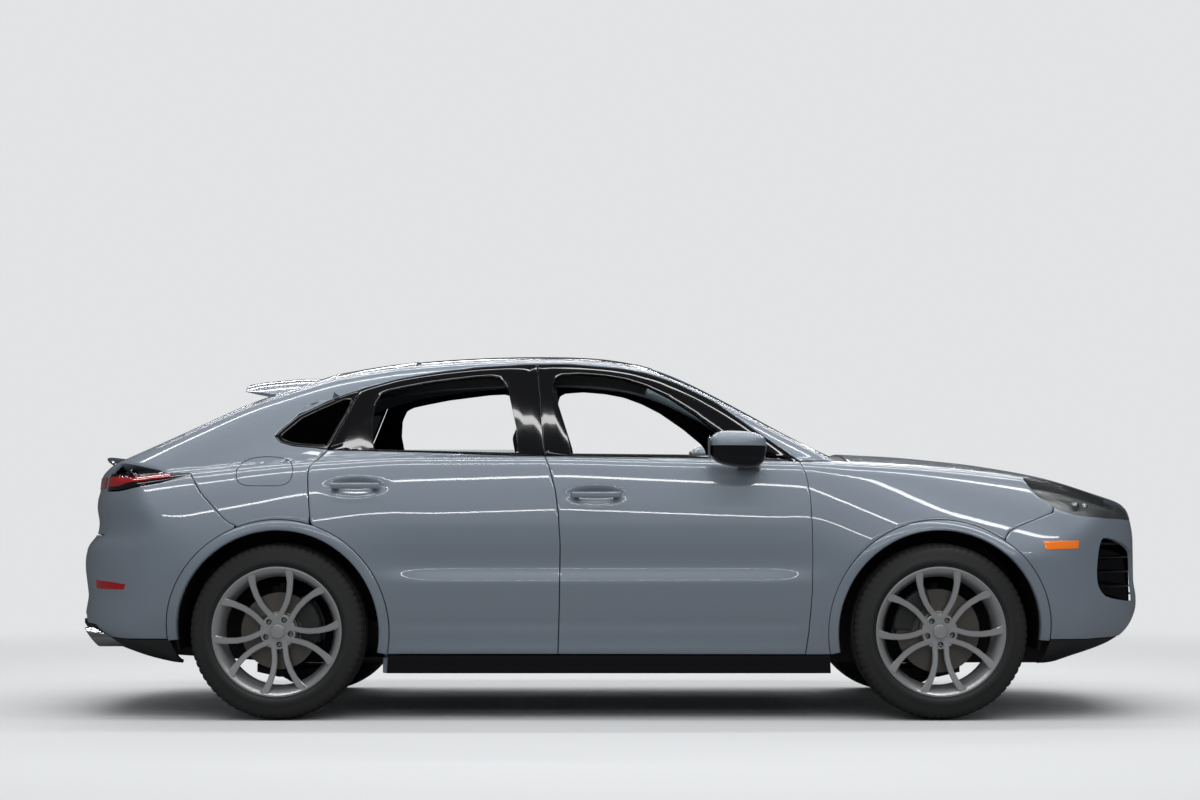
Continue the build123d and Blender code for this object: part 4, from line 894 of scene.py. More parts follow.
def middle_line(low_x, high_x):
    """A line along the top of the body, on its middle."""
    return top_line([(low_x, 0.0), (high_x, 0.0)])


hood_rear = [(1.062, -0.752), (1.068, -0.4), (1.070, 0.0)]
hood_points = half_points(
    top_line(hood_side), middle_line(1.062, 2.362), top_line(hood_rear), top_line(hood_front),
    counts=(64, 34),
)
hood = full_panel("hood_panel", [hood_points], 0.016)
finished(hood, body_paint, "hood", ["hood"])


def cornered(places, count, sharp=25.0):
    """Evenly spaced points round a closed outline, with its sharp corners kept."""
    places = np.array(places, float)
    line = even(np.concatenate((places, places[:1])), count + 1)[:-1]
    ahead = np.roll(places, -1, axis=0) - places
    turn = np.arctan2(ahead[:, 1], ahead[:, 0])
    change = np.abs((turn - np.roll(turn, 1) + math.pi) % (2 * math.pi) - math.pi)
    for corner in places[change > math.radians(sharp)]:
        line[np.argmin(((line - corner) ** 2).sum(1))] = corner
    return line


def top_band(name, outline, opening, inset=0.0, rows=5, count=144, wall=0.012):
    """A closed band on the top of the body, seen in plan."""
    outer, inner = cornered(outline, count), cornered(opening, count)
    turn = np.argmin([((outer - np.roll(inner, shift, axis=0)) ** 2).sum() for shift in range(count)])
    share = np.linspace(0, 1, rows)[:, None, None]
    band = outer[None] * (1 - share) + np.roll(inner, turn, axis=0)[None] * share
    band = np.concatenate((band, band[:, :1]), axis=1)
    flat = np.concatenate((band.reshape(-1, 2), np.ones((band.shape[0] * band.shape[1], 1))), 1)
    points = pressed(flat, 2, inset).reshape(band.shape[0], band.shape[1], 3)
    return walled(joined([grid_piece(name, points)], name, weld=0.0002), wall=wall)


def plan_ring(half):
    """A closed plan outline from its right-hand half, front to rear."""
    return half + [(x, -y) for x, y in reversed(half) if y]


roof_outline = [(0.198, -0.598), (-1.253, -0.598), (-1.253, 0.598), (0.198, 0.598)]
roof_opening = plan_ring([
    (0.118, -0.30), (0.100, -0.48), (0.062, -0.508), (-0.86, -0.510), (-0.895, -0.48), (-0.90, -0.30),
])
roof_surround = top_band("roof_surround", roof_outline, roof_opening, rows=4)
finished(roof_surround, body_paint, "root", ["roof_panel"])

glass_index = 1.5
glass_fade = 0.94


def glass_finish(name, tint):
    """Thin tinted glass: clear where it is looked through, shiny at a flat angle."""
    material, tree, shader = nodes_of(name)
    clear = new_node(tree, "BsdfTransparent")
    mix = new_node(tree, "MixShader")
    edge = new_node(tree, "Fresnel")
    face = new_node(tree, "NewGeometry")
    index = new_node(tree, "MapRange", {"To Min": glass_index, "To Max": 1 / glass_index})
    dust = new_node(tree, "TexNoise", {"Scale": 6.0})
    place = new_node(tree, "TexCoord")
    dusty = [value * glass_fade for value in tint[:3]] + [1]
    tone = new_node(tree, "Mix", {"A": tint, "B": dusty}, data_type="RGBA")
    shader.inputs["Base Color"].default_value = (0.01, 0.012, 0.012, 1)
    shader.inputs["Roughness"].default_value = 0.0
    wired(
        tree, (face, "Backfacing", index, "Value"), (index, "Result", edge, "IOR"),
        (place, "Object", dust, "Vector"), (dust, "Fac", tone, "Factor"),
        (tone, "Result", clear, "Color"), (edge, "Fac", mix, "Fac"), (clear, "BSDF", mix, 1),
        (shader, "BSDF", mix, 2), (mix, "Shader", tree.nodes["Material Output"], "Surface"),
    )
    return material


clear_glass = glass_finish("window_glass", (0.80, 0.86, 0.83, 1))
dark_glass = glass_finish("dark_glass", (0.10, 0.11, 0.11, 1))
glass_wall = 0.005
glass_edge = 0.0008
glass_inset = 0.003

roof_half = half_points(
    top_line([(-0.86, -0.506), (0.062, -0.505)]), middle_line(-0.90, 0.118),
    top_line([(-0.86, -0.506), (-0.893, -0.48), (-0.897, 0.0)]),
    top_line([(0.062, -0.505), (0.098, -0.48), (0.116, 0.0)]), counts=(50, 26), inset=glass_inset,
)
roof_glass = full_panel("roof_glass", [roof_half], glass_wall, glass_edge)
finished(roof_glass, dark_glass, "root", ["fixed_glass"])

screen_half = half_points(
    top_line([(0.202, -0.598), (0.992, -0.742)]), middle_line(0.202, 1.000),
    top_line([(0.202, -0.598), (0.202, 0.0)]), top_line([(0.992, -0.742), (1.000, -0.4), (1.010, 0.0)]),
    counts=(44, 30), inset=glass_inset,
)
windscreen = full_panel("windscreen", [screen_half], glass_wall, glass_edge)
finished(windscreen, clear_glass, "root", ["fixed_glass"])

cowl_half = half_points(
    top_line([(0.986, -0.745), (1.062, -0.752)]), middle_line(1.000, 1.062),
    top_line([(0.986, -0.745), (0.998, -0.4), (1.004, 0.0)]), top_line(hood_rear),
    counts=(6, 40), inset=0.008,
)
cowl = full_panel("cowl_cover", [cowl_half], 0.010)
finished(cowl, black_plastic, "root", ["cowl_panel"])

quarter_outline = window_low_rear + window_rear_top[1:]
quarter_opening = [
    (-1.262, 1.206), (-1.340, 1.210), (-1.412, 1.216), (-1.462, 1.232), (-1.468, 1.250), (-1.385, 1.325),
    (-1.290, 1.372), (-1.195, 1.414), (-1.165, 1.412), (-1.180, 1.370),
]
quarter_frame = ring_piece("quarter_frame_right", set_in(quarter_outline, panel_gap), quarter_opening)
pair(quarter_frame, gloss_black, "root", ["body_side_right"])


def pane_piece(name, outline, inset, rows=7):
    """A pane on the side of the body that fills an outline."""
    middle = np.mean(np.array(outline, float), axis=0)
    return ring_piece(name, outline, [middle] * len(outline), inset, glass_wall, rows, 60, edge=0.0)


quarter_pane = pane_piece("quarter_glass_right", set_in(quarter_opening, -0.004), 0.008)
pair(quarter_pane, dark_glass, "root", ["fixed_glass"])
corner_pane = pane_piece("corner_glass_right", corner_outline, 0.001)
pair(corner_pane, dark_glass, "door_front_right", ["door_glass_front_right"])

# Tailgate
# A painted gate with a bonded rear window, a full-width lamp, a roof spoiler above the
# window and a small blade at the tail. All of it rides on the gate.
gate_upper = [
    (-1.258, 0.0), (-1.258, -0.598), (-1.70, -0.638), (-2.15, -0.688), (-2.19, -0.689), (-2.25, -0.45),
    (-2.28, 0.0),
]
gate_opening = [(-1.340, 0.0), (-1.360, -0.510), (-1.70, -0.540), (-2.06, -0.560), (-2.080, 0.0)]
gate_turn, opening_turn = 4, 3
seam_count = 30


def end_line(places, end, inset=0.0):
    """A line in the front or rear view, laid on the nose (1) or on the tail (-1)."""
    y, z = even(places, line_count).T
    return pressed(np.stack((np.full(line_count, float(end)), y, z), 1), 0, inset)


def band_between(outline, opening, count=90, rows=5, inset=0.0):
    """Points of an open band on the top of the body between two plan lines."""
    lines = []
    for places, corner in zip((outline, opening), (gate_turn, opening_turn)):
        places = np.array(places, float)
        forward = even(places[:corner + 1], count - seam_count + 1)
        for middle in places[1:corner]:
            forward[np.argmin(((forward - middle) ** 2).sum(1))] = middle
        lines.append(np.concatenate((forward[:-1], even(places[corner:], seam_count))))
    share = np.linspace(0, 1, rows)[:, None, None]
    band = lines[0][None] * (1 - share) + lines[1][None] * share
    flat = np.concatenate((band.reshape(-1, 2), np.ones((rows * count, 1))), 1)
    return pressed(flat, 2, inset).reshape(rows, count, 3)


tail_side = laid(
    40, end_line([(-0.693, 0.806), (-0.693, 1.040)], -1), top_line([(-2.20, -0.689), (-2.19, -0.689)]),
)
tail_middle = laid(
    40, end_line([(0.0, 0.806), (0.0, 1.060)], -1), top_line([(-2.34, 0.0), (-2.28, 0.0)]),
)
upper_half = band_between(gate_upper, gate_opening)
upper_half[:, 0, 1] = upper_half[:, -1, 1] = 0
tail_half = half_points(
    tail_side, tail_middle, end_line([(-0.693, 0.806), (0.0, 0.806)], -1), upper_half[0, -seam_count:],
    counts=(40, seam_count),
)
gate = full_panel("tailgate_panel", [tail_half, upper_half], 0.018, weld=0.004)
finished(gate, body_paint, "liftgate", ["liftgate"])

back_half = half_points(
    top_line([(-2.058, -0.557), (-1.70, -0.537), (-1.362, -0.507)]), middle_line(-2.076, -1.343),
    top_line([(-2.058, -0.557), (-2.074, -0.3), (-2.076, 0.0)]),
    top_line([(-1.362, -0.507), (-1.345, -0.3), (-1.343, 0.0)]), counts=(36, 28), inset=glass_inset,
)
backlight = full_panel("rear_window", [back_half], glass_wall, glass_edge)
finished(backlight, dark_glass, "liftgate", ["backlight"])

spoiler_sections = [
    (-1.262, 0.560, 1.538, 1.500), (-1.330, 0.572, 1.545, 1.480), (-1.453, 0.580, 1.543, 1.460),
    (-1.560, 0.575, 1.534, 1.464), (-1.640, 0.566, 1.526, 1.486), (-1.695, 0.556, 1.517, 1.503),
    (-1.703, 0.552, 1.512, 1.508),
]


def faced(piece):
    """Closes any open ends and turns all faces outwards."""
    edit_all(piece)
    bpy.ops.mesh.select_all(action="DESELECT")
    bpy.ops.mesh.select_non_manifold()
    bpy.ops.mesh.fill_holes(sides=0)
    bpy.ops.mesh.select_all(action="SELECT")
    bpy.ops.mesh.normals_make_consistent(inside=False)
    bpy.ops.object.mode_set(mode="OBJECT")
    return piece


def lofted(name, rows, weld=0.00002):
    """A closed body laid through rows of points."""
    return faced(joined([grid_piece(name, np.array(rows))], name, weld))


tip_drop = 0.55
tip_lift = 0.3


def wing(name, sections, droop, sweep, count=41):
    """A wing across the car from sections: place along, half width, top and underside."""
    turn = np.linspace(-1, 1, count)
    top_rows, under_rows = [], []
    for x, half, top, under in sections:
        fall = droop * turn ** 2
        sag = (top - under) * tip_drop * np.abs(turn) ** 6
        place, cross = x + sweep * turn ** 2, turn * half
        top_rows.append(np.stack((place, cross, top - fall - sag), 1))
        under_rows.append(np.stack((place, cross, under - fall + sag * tip_lift), 1))
    piece = lofted(name, top_rows + under_rows[::-1] + top_rows[:1], 0.0002)
    return bevelled(piece, 0.003, 3, 40)


roof_spoiler = wing("roof_spoiler", spoiler_sections, 0.052, 0.040)
finished(roof_spoiler, body_paint, "liftgate", ["gate_spoilers"])
blade_sections = [
    (-2.215, 0.592, 1.150, 1.115), (-2.260, 0.594, 1.157, 1.112), (-2.325, 0.590, 1.164, 1.120),
    (-2.370, 0.580, 1.169, 1.150), (-2.378, 0.578, 1.167, 1.161),
]
tail_blade = wing("tail_blade", blade_sections, 0.030, 0.112)
finished(tail_blade, gloss_black, "liftgate", ["gate_spoilers"])

# Tail lamps
# Plain red lenses: a bar across the gate, and a lens on each rear quarter, set in a wedge of
# gloss black plastic.
lamp_red = finish(
    "lamp_red", (0.22, 0.003, 0.005, 1), (0.36, 0.006, 0.008, 1), rough=(0.04, 0.10), scale=90.0,
    height=0.0, Coat_Weight=1.0,
)


def to_middle(points):
    """Puts the last column of a half panel on the middle of the car."""
    points[:, -1, 1] = 0
    return points


bar_half = to_middle(patch(
    end_line([(-0.680, 1.012), (0.0, 1.010)], -1), end_line([(-0.680, 1.062), (0.0, 1.070)], -1),
    end_line([(-0.680, 1.012), (-0.680, 1.062)], -1), end_line([(0.0, 1.010), (0.0, 1.070)], -1),
    counts=(40, 8), inset=-0.0025, gap=0,
))
lamp_bar = full_panel("gate_lamp_bar", [bar_half], 0.014, weld=0.001)
finished(lamp_bar, lamp_red, "liftgate", ["liftgate_lamp"])

wedge_low = laid(
    60, side_line([(-1.866, 1.068), (-1.98, 1.042), (-2.16, 1.008)]),
    end_line([(-0.79, 1.004), (-0.699, 1.004)], -1),
)
wedge_high = laid(
    60, side_line([(-1.866, 1.074), (-1.98, 1.090), (-2.14, 1.092)]),
    end_line([(-0.76, 1.078), (-0.699, 1.080)], -1),
)
wedge_ends = [onto_body(line) for line in ends_of(wedge_low, wedge_high, 12)]
wedge_points = patch(wedge_low, wedge_high, *wedge_ends, counts=(48, 10), gap=0.0015, inset=0.001)
wedge = panel("tail_lamp_case_right", wedge_points, 0.030)
pair(wedge, gloss_black, "root", ["tail_lamps"])
lens_points = wedge_points[2:8, 9:]
lens_points = onto_body(lens_points.reshape(-1, 3), -0.0015).reshape(lens_points.shape)
wedge_lens = panel("tail_lamp_right", lens_points, 0.006, 0.0012)
pair(wedge_lens, lamp_red, "root", ["tail_lamps"])

# Rear bumper
# Painted plastic from arch to arch below the lamps and the gate, in one piece with its corners.
bumper_wall = 0.016
bumper_weld = 0.005
bumper_arch = side_line(arch_line(rear_axle_x, trim_radius, 184.2, 110.8) + rear_bumper_line[1:])
bumper_high = laid(
    70, side_line([tail_lamp_tip, (-1.98, 1.038), (-2.16, 1.004)]),
    end_line([(-0.79, 1.000), (-0.697, 1.000)], -1),
)
bumper_low = laid(
    70, side_line([(-1.942, 0.350), (-2.10, 0.350)]),
    end_line([(-0.80, 0.350), (-0.758, 0.352), (-0.745, 0.375), (-0.728, 0.402), (-0.697, 0.406)], -1),
)
bumper_seam = even(end_line([(-0.697, 0.406), (-0.697, 1.000)], -1), 53)
corner_points = patch(
    bumper_low, bumper_high, bumper_arch, bumper_seam, counts=(60, 53),
    gap=(panel_gap, panel_gap, panel_gap, 0),
)
centre_points = to_middle(patch(
    end_line([(-0.697, 0.406), (-0.600, 0.406), (-0.550, 0.412), (-0.530, 0.440), (0.0, 0.440)], -1),
    end_line([(-0.697, 0.800), (0.0, 0.800)], -1), bumper_seam[:36],
    end_line([(0.0, 0.440), (0.0, 0.800)], -1), counts=(44, 36), gap=(panel_gap, 0, 0, 0),
))
rear_bumper = full_panel("rear_bumper_cover", [corner_points, centre_points], bumper_wall, weld=bumper_weld)
finished(rear_bumper, body_paint, "root", ["rear_bumper"])

# Diffuser
# Black moulded plastic below the bumper, in one piece from wheel to wheel, with five upright
# fins in its middle that follow the skin.
diffuser_high = end_line(
    [(-0.690, 0.400), (-0.600, 0.400), (-0.552, 0.406), (-0.532, 0.434), (0.0, 0.436)], -1,
)
diffuser_low = end_line([(-0.690, 0.240), (0.0, 0.240)], -1)
diffuser_centre = to_middle(patch(
    diffuser_low, diffuser_high, *ends_of(diffuser_low, diffuser_high, 20), counts=(44, 16), gap=0,
    inset=0.004,
))
side_high = laid(
    60, side_line([(-1.935, 0.345), (-2.10, 0.345)]),
    end_line([(-0.80, 0.345), (-0.758, 0.346), (-0.742, 0.372), (-0.726, 0.397), (-0.690, 0.400)], -1),
)
side_low = laid(
    60, side_line([(-1.890, 0.240), (-1.905, 0.240)]), end_line([(-0.700, 0.240), (-0.690, 0.240)], -1),
)
diffuser_side = patch(
    side_low, side_high, *ends_of(side_low, side_high, 12), counts=(40, 8), gap=0, inset=0.004,
)
diffuser = full_panel("rear_diffuser_panel", [diffuser_centre, diffuser_side], 0.014, weld=0.004)
fin_rise = np.linspace(0.262, 0.418, 9)
fin_half = 0.006
fin_depth = 0.022
fin_root = 0.012
fins = []
for y in (-0.36, -0.18, 0.0, 0.18, 0.36):
    skin = tail_x(fin_rise) + tail_plan(abs(y))
    crest = skin - fin_depth * np.sin(np.linspace(0.15, 0.92, 9) * math.pi)
    root = skin + fin_root
    fins.append(lofted("fin", [
        np.stack((edge, np.full(9, y + side * fin_half), fin_rise), 1)
        for edge, side in ((crest, -1), (crest, 1), (root, 1), (root, -1), (crest, -1))
    ]))
diffuser = joined([diffuser] + fins, "rear_diffuser_panel", weld=0.00001)
finished(diffuser, black_plastic, "root", ["rear_diffuser"])

# Reflectors and plate
# A red plastic reflector in each corner of the rear bumper, and a blank plate in its middle.
reflector_low = laid(
    30, side_line([(-2.140, 0.566), (-2.20, 0.566)]), end_line([(-0.72, 0.566)] * 2, -1)[:1],
)
reflector_high = laid(
    30, side_line([(-2.130, 0.590), (-2.20, 0.598)]), end_line([(-0.72, 0.606)] * 2, -1)[:1],
)
reflector_points = patch(
    reflector_low, reflector_high, *ends_of(reflector_low, reflector_high, 8), counts=(28, 5), gap=0,
    inset=-0.002,
)
reflector = panel("rear_reflector_right", reflector_points, 0.010, 0.001)
pair(reflector, lamp_red, "root", ["rear_bumper"])
plate_face = pressed(np.array([[-1.0, 0.001, 0.66]]), 0)[0, 0]
plate_material = finish(
    "plate_blank", (0.60, 0.60, 0.58, 1), (0.66, 0.66, 0.64, 1), rough=(0.30, 0.42), scale=700.0,
    height=0.0001,
)
plate = box_piece(
    "rear_plate_blank", (plate_face - 0.006, -0.155, 0.590), (plate_face + 0.025, 0.155, 0.740), edge=0.003,
)
finished(plate, plate_material, "root", ["rear_bumper"])

# Exhaust ends
# Two chromed steel pipes on each side, cut on the slant, in front of a plain silencer box.
chrome = finish(
    "polished_metal", (0.62, 0.63, 0.64, 1), (0.72, 0.72, 0.72, 1), rough=(0.08, 0.16), scale=260.0,
    height=0.0, Metallic=1.0,
)
pipe_height = 0.350
pipe_places = (-0.690, -0.590)
pipe_radius = 0.043
pipe_length = 0.26
pipe_middle_x = -2.240
pipe_end_x = -2.318
pipe_slant = 0.75
pipes = []
for y in pipe_places:
    deselect()
    bpy.ops.mesh.primitive_cylinder_add(
        vertices=64, radius=pipe_radius, depth=pipe_length, end_fill_type="NOTHING",
    )
    pipe = bpy.context.object
    edit_all(pipe)
    bpy.ops.transform.rotate(value=math.radians(90), orient_axis="Y", center_override=(0, 0, 0))
    bpy.ops.transform.translate(value=(pipe_middle_x, y, pipe_height))
    bpy.ops.object.mode_set(mode="OBJECT")
    for vertex in pipe.data.vertices:
        if vertex.co.x < pipe_middle_x:
            vertex.co.x = pipe_end_x + pipe_slant * (pipe_height - vertex.co.z)
    modified(pipe, "SOLIDIFY", thickness=0.004, offset=-1.0)
    pipes.append(bevelled(pipe, 0.0018))
silencer = box_piece("silencer", (-2.170, -0.740, 0.300), (-2.060, -0.300, 0.400), edge=0.030)
exhaust_tips = joined(pipes + [silencer], "exhaust_tips_right", weld=0.00001)
pair(exhaust_tips, chrome, "root", ["exhaust"])

# Front bumper
# Painted plastic between the wheel openings, the headlamps and the hood, with a wide middle
# opening and an intake on each side cut out of it.
lamp_low_line = laid(
    70, side_line([(1.962, 0.932), (1.989, 0.917), (2.059, 0.895), (2.120, 0.886)]),
    end_line([(-0.80, 0.880), (-0.640, 0.873), (-0.470, 0.868)], 1),
)
front_arch = side_line(arch_line(front_axle_x, trim_radius, -4.4, 55.0)[:-1] + bumper_line)
front_low = laid(
    70, side_line([(1.927, 0.348), (2.06, 0.348)]), end_line([(-0.80, 0.348), (-0.470, 0.348)], 1),
)
front_seam = even(end_line([(-0.470, 0.348), (-0.470, 0.868)], 1), 50)
front_corner = patch(
    front_low, lamp_low_line, front_arch, front_seam, counts=(76, 50),
    gap=(panel_gap, panel_gap, panel_gap, 0),
)
hood_corner_low = top_spot(2.268, -0.470)
lens_inner = onto_body(between(front_seam[-1], hood_corner_low, 20))
nose_side = np.concatenate((front_seam, onto_body(between(front_seam[-1], hood_corner_low, 16))[1:]))
nose_middle = laid(60, end_line([(0.0, 0.348), (0.0, 0.86)], 1), top_line([(2.40, 0.0), (2.366, 0.0)]))
front_centre = half_points(
    nose_side, nose_middle, end_line([(-0.470, 0.348), (0.0, 0.348)], 1),
    top_line([(2.268, -0.470), (2.325, -0.34), (2.352, -0.20), (2.366, 0.0)]), counts=(65, 34),
    gap=(0, 0, panel_gap, panel_gap),
)
front_bumper = full_panel("front_bumper_cover", [front_corner, front_centre], bumper_wall, weld=bumper_weld)


def softened(places, turns=3):
    """Cuts the corners of a line, and keeps its two ends."""
    places = np.array(places, float)
    for turn in range(turns):
        near = places[:-1] * 0.75 + places[1:] * 0.25
        far = places[:-1] * 0.25 + places[1:] * 0.75
        middle = np.stack((near, far), 1).reshape(-1, places.shape[1])
        places = np.concatenate((places[:1], middle[1:-1], places[-1:]))
    return places


def prism_cutter(name, outline, low_x, high_x):
    """A prism along the car from a front view outline."""
    deselect()
    sides = len(outline)
    bpy.ops.mesh.primitive_cylinder_add(vertices=sides, radius=1, depth=1)
    cutter = bpy.context.object
    cutter.name = cutter.data.name = name
    flat = np.zeros(len(cutter.data.vertices) * 3)
    cutter.data.vertices.foreach_get("co", flat)
    flat = flat.reshape(-1, 3)
    turn = np.rint(np.arctan2(flat[:, 0], flat[:, 1]) / (2 * math.pi) * sides).astype(int) % sides
    outline = np.array(outline, float)
    placed = np.stack((np.where(flat[:, 2] < 0, low_x, high_x), outline[turn, 0], outline[turn, 1]), 1)
    cutter.data.vertices.foreach_set("co", placed.reshape(-1))
    cutter.data.update()
    edit_all(cutter)
    bpy.ops.mesh.normals_make_consistent(inside=False)
    bpy.ops.object.mode_set(mode="OBJECT")
    return cutter


def cut_by(piece, cutters):
    """Cuts the cutters out of a piece and removes them."""
    for cutter in cutters:
        modified(piece, "BOOLEAN", object=cutter, operation="DIFFERENCE", solver="EXACT")
        bpy.data.objects.remove(cutter)


grille_half = [(0.0, 0.492), (-0.40, 0.492), (-0.455, 0.62), (-0.440, 0.70), (-0.385, 0.838), (0.0, 0.842)]
grille_outline = softened(grille_half, 2).tolist()
grille_outline += [[-y, z] for y, z in grille_outline[::-1][1:-1]]
intake_outline = [
    (-0.575, 0.500), (-0.810, 0.520), (-0.848, 0.560), (-0.856, 0.640), (-0.842, 0.770), (-0.815, 0.803),
    (-0.640, 0.742), (-0.585, 0.715),
]
intake_loop = softened(intake_outline + intake_outline[:1], 2)[:-1].tolist()
cutters = [prism_cutter("cutter", grille_outline, 2.0, 2.6)]
cutters += [prism_cutter("cutter", [(side * y, z) for y, z in intake_loop], 1.9, 2.6) for side in (1, -1)]
cut_by(front_bumper, cutters)
finished(front_bumper, body_paint, "root", ["front_bumper"])

# Grille
# Black moulded slats across the openings, on upright ribs in the middle, with the walls of
# the air ducts behind them. The valance below the bumper is black plastic too.
middle_heights = np.linspace(0.535, 0.805, 7)
side_heights = (0.575, 0.640, 0.705, 0.765)


def slat(name, places, height, inset, depth=0.030, thick=0.007, front_share=0.35):
    """A slat that follows the nose at one height, from place to place across the car."""
    line = even(end_line([(places[0], height), (places[1], height)], 1, inset), 24)
    front = [line + np.array([0, 0, side * thick * front_share]) for side in (-1, 1)]
    back = [line + np.array([-depth, 0, side * thick]) for side in (1, -1)]
    return joined([grid_piece(name, np.array(front + back + front[:1]))], name, weld=0.00005)


slats = [slat("slat", (-0.455, 0.455), height, 0.022) for height in middle_heights]
for side in (1, -1):
    slats += [slat("slat", sorted((side * 0.560, side * 0.870)), height, 0.018) for height in side_heights]
for y in (-0.30, -0.10, 0.10, 0.30):
    face = pressed(np.array([[1.0, y, 0.66]]), 0)[0, 0]
    rib_low, rib_high = (face - 0.065, y - 0.006, 0.490), (face - 0.035, y + 0.006, 0.845)
    slats.append(box_piece("slat", rib_low, rib_high, 0.002))
for low, high, edge in (
    ((2.255, -0.47, 0.47), (2.275, 0.47, 0.86), 0.004), ((2.02, -0.88, 0.47), (2.04, -0.55, 0.82), 0.004),
    ((2.02, 0.55, 0.47), (2.04, 0.88, 0.82), 0.004), ((2.02, -0.560, 0.47), (2.350, -0.550, 0.80), 0.002),
    ((2.02, 0.550, 0.47), (2.350, 0.560, 0.80), 0.002),
    ((2.26, -0.474, 0.47), (2.375, -0.464, 0.82), 0.002),
    ((2.26, 0.464, 0.47), (2.375, 0.474, 0.82), 0.002),
):
    slats.append(box_piece("slat", low, high, edge))
grille = joined(slats, "grille_slats", weld=0.00001)
finished(grille, gloss_black, "root", ["front_grille"])

valance_high = laid(
    90, side_line([(1.930, 0.343), (2.06, 0.343)]), end_line([(-0.80, 0.343), (0.0, 0.343)], 1),
)
valance_low = laid(
    90, side_line([(1.890, 0.236), (1.900, 0.236)]), end_line([(-0.64, 0.236), (0.0, 0.236)], 1),
)
valance_half = to_middle(patch(
    valance_low, valance_high, *ends_of(valance_low, valance_high, 12), counts=(80, 8), gap=0, inset=0.004,
))
valance = full_panel("front_valance_panel", [valance_half], 0.014, weld=0.002)
finished(valance, black_plastic, "root", ["front_valance"])

# Headlamps
# Clear lenses over a silvered housing with four small chromed projectors each. The amber
# marker is a lens of its own in the bumper's flank.
lens_high = laid(
    70, between(lamp_corner, hood_corner, 20), top_line(hood_front[:4] + [(2.268, -0.470)])[1:],
)
lens_edges = (lamp_low_line, lens_high, side_line(lamp_rear), lens_inner)
lens = panel("headlamp_lens_right", patch(*lens_edges, counts=(60, 20), gap=0.0016), 0.004, 0.0008)
lens_glass = glass_finish("lamp_clear", (0.90, 0.91, 0.92, 1))
pair(lens, lens_glass, "root", ["headlamps"])
housing_depth = 0.045
housing_rim = 0.006
housing_points = patch(*lens_edges, counts=(60, 20), gap=0.003)
rim = np.ones(housing_points.shape[:2])
rim[1:-1, 1:-1] = 0
near, deep = (
    onto_body(housing_points.reshape(-1, 3), inset).reshape(housing_points.shape)
    for inset in (housing_rim, housing_depth)
)
housing = panel("headlamp_housing_right", np.where(rim[..., None] > 0, near, deep), 0.004, 0.0)
lamp_silver = finish(
    "lamp_housing", (0.16, 0.16, 0.155, 1), (0.26, 0.26, 0.25, 1), rough=(0.18, 0.30), scale=40.0,
    height=0.0004, Metallic=0.5,
)
pair(housing, lamp_silver, "root", ["headlamps"])
projector_radius = 0.020
projectors = []
for place in (
    (2.200, -0.620, 0.915), (2.165, -0.680, 0.918), (2.120, -0.728, 0.924), (2.070, -0.765, 0.932),
):
    deselect()
    bpy.ops.mesh.primitive_uv_sphere_add(
        segments=32, ring_count=16, radius=projector_radius, location=place,
    )
    bpy.ops.object.transform_apply(location=True)
    projectors.append(bpy.context.object)
projector = joined(projectors, "headlamp_projectors_right", weld=0.00001)
pair(projector, chrome, "root", ["headlamps"])

amber = finish(
    "amber_lens", (0.85, 0.16, 0.010, 1), (0.95, 0.22, 0.015, 1), rough=(0.12, 0.2), scale=500.0,
    height=0.0, Coat_Weight=1.0,
)
marker_points = patch(
    side_line([(1.900, 0.742), (2.050, 0.746)]), side_line([(1.892, 0.779), (2.056, 0.781)]),
    side_line([(1.900, 0.742), (1.892, 0.779)]), side_line([(2.050, 0.746), (2.056, 0.781)]),
    counts=(20, 6), gap=0, inset=-0.003,
)
marker = panel("side_marker_right", marker_points, 0.010, 0.002)
pair(marker, amber, "root", ["front_bumper"])

# Wheels
# Cast alloy wheels with five pairs of slim spokes, painted satin grey. Each is one casting:
# a turned barrel, a hub with five deep bolt holes, and a plain cap.
bolt_circle = 0.057
bolt_step = 72.0
first_bolt = {"front": -88.0, "rear": -83.0}
barrel_profile = [
    (0.283, -0.700), (0.283, -0.716), (0.264, -0.726), (0.262, -0.790), (0.246, -0.830), (0.246, -0.880),
    (0.262, -0.915), (0.264, -0.938), (0.283, -0.946), (0.2835, -0.955), (0.2765, -0.9560), (0.270, -0.950),
    (0.256, -0.934), (0.250, -0.905), (0.238, -0.870), (0.238, -0.820), (0.254, -0.785), (0.256, -0.722),
    (0.274, -0.704), (0.276, -0.700),
]


def turned(name, profile, axle, steps=96, closed=False, wave=None):
    """A profile of radius and y turned about an axle that runs across the car."""
    profile = np.array(list(profile) + ([profile[0]] if closed else []), float)
    angle = np.linspace(0, 2 * math.pi, steps + 1)
    radius = np.repeat(profile[None, :, 0], steps + 1, axis=0)
    if wave is not None:
        radius = radius - wave(angle[:, None], np.arange(len(profile))[None, :])
    return lofted(name, np.stack((
        axle + radius * np.cos(angle)[:, None], np.repeat(profile[None, :, 1], steps + 1, axis=0),
        axle_z + radius * np.sin(angle)[:, None],
    ), -1))


# A spoke from hub to rim: radii, then lean, offset from the bolt, half width, face and depth
spoke_radii = np.array([0.030, 0.050, 0.080, 0.110, 0.140, 0.180, 0.220, 0.250, 0.274])
spoke_lean = ([0.115, 0.274], [0.0, 17.6])
spoke_beside = ([0.03, 0.115, 0.274], [0.0250, 0.0250, 0.004])
spoke_half = ([0.03, 0.10, 0.22, 0.274], [0.0125, 0.0120, 0.0135, 0.0185])
spoke_face = ([0.03, 0.10, 0.20, 0.274], [-0.920, -0.928, -0.942, -0.9535])
spoke_deep = ([0.03, 0.274], [0.040, 0.030])
spoke_section = ((-1, 0.012), (-0.75, 0.0), (0.75, 0.0), (1, 0.012), (0.8, 1.0), (-0.8, 1.0), (-1, 0.012))
spoke_chamfer = 0.35


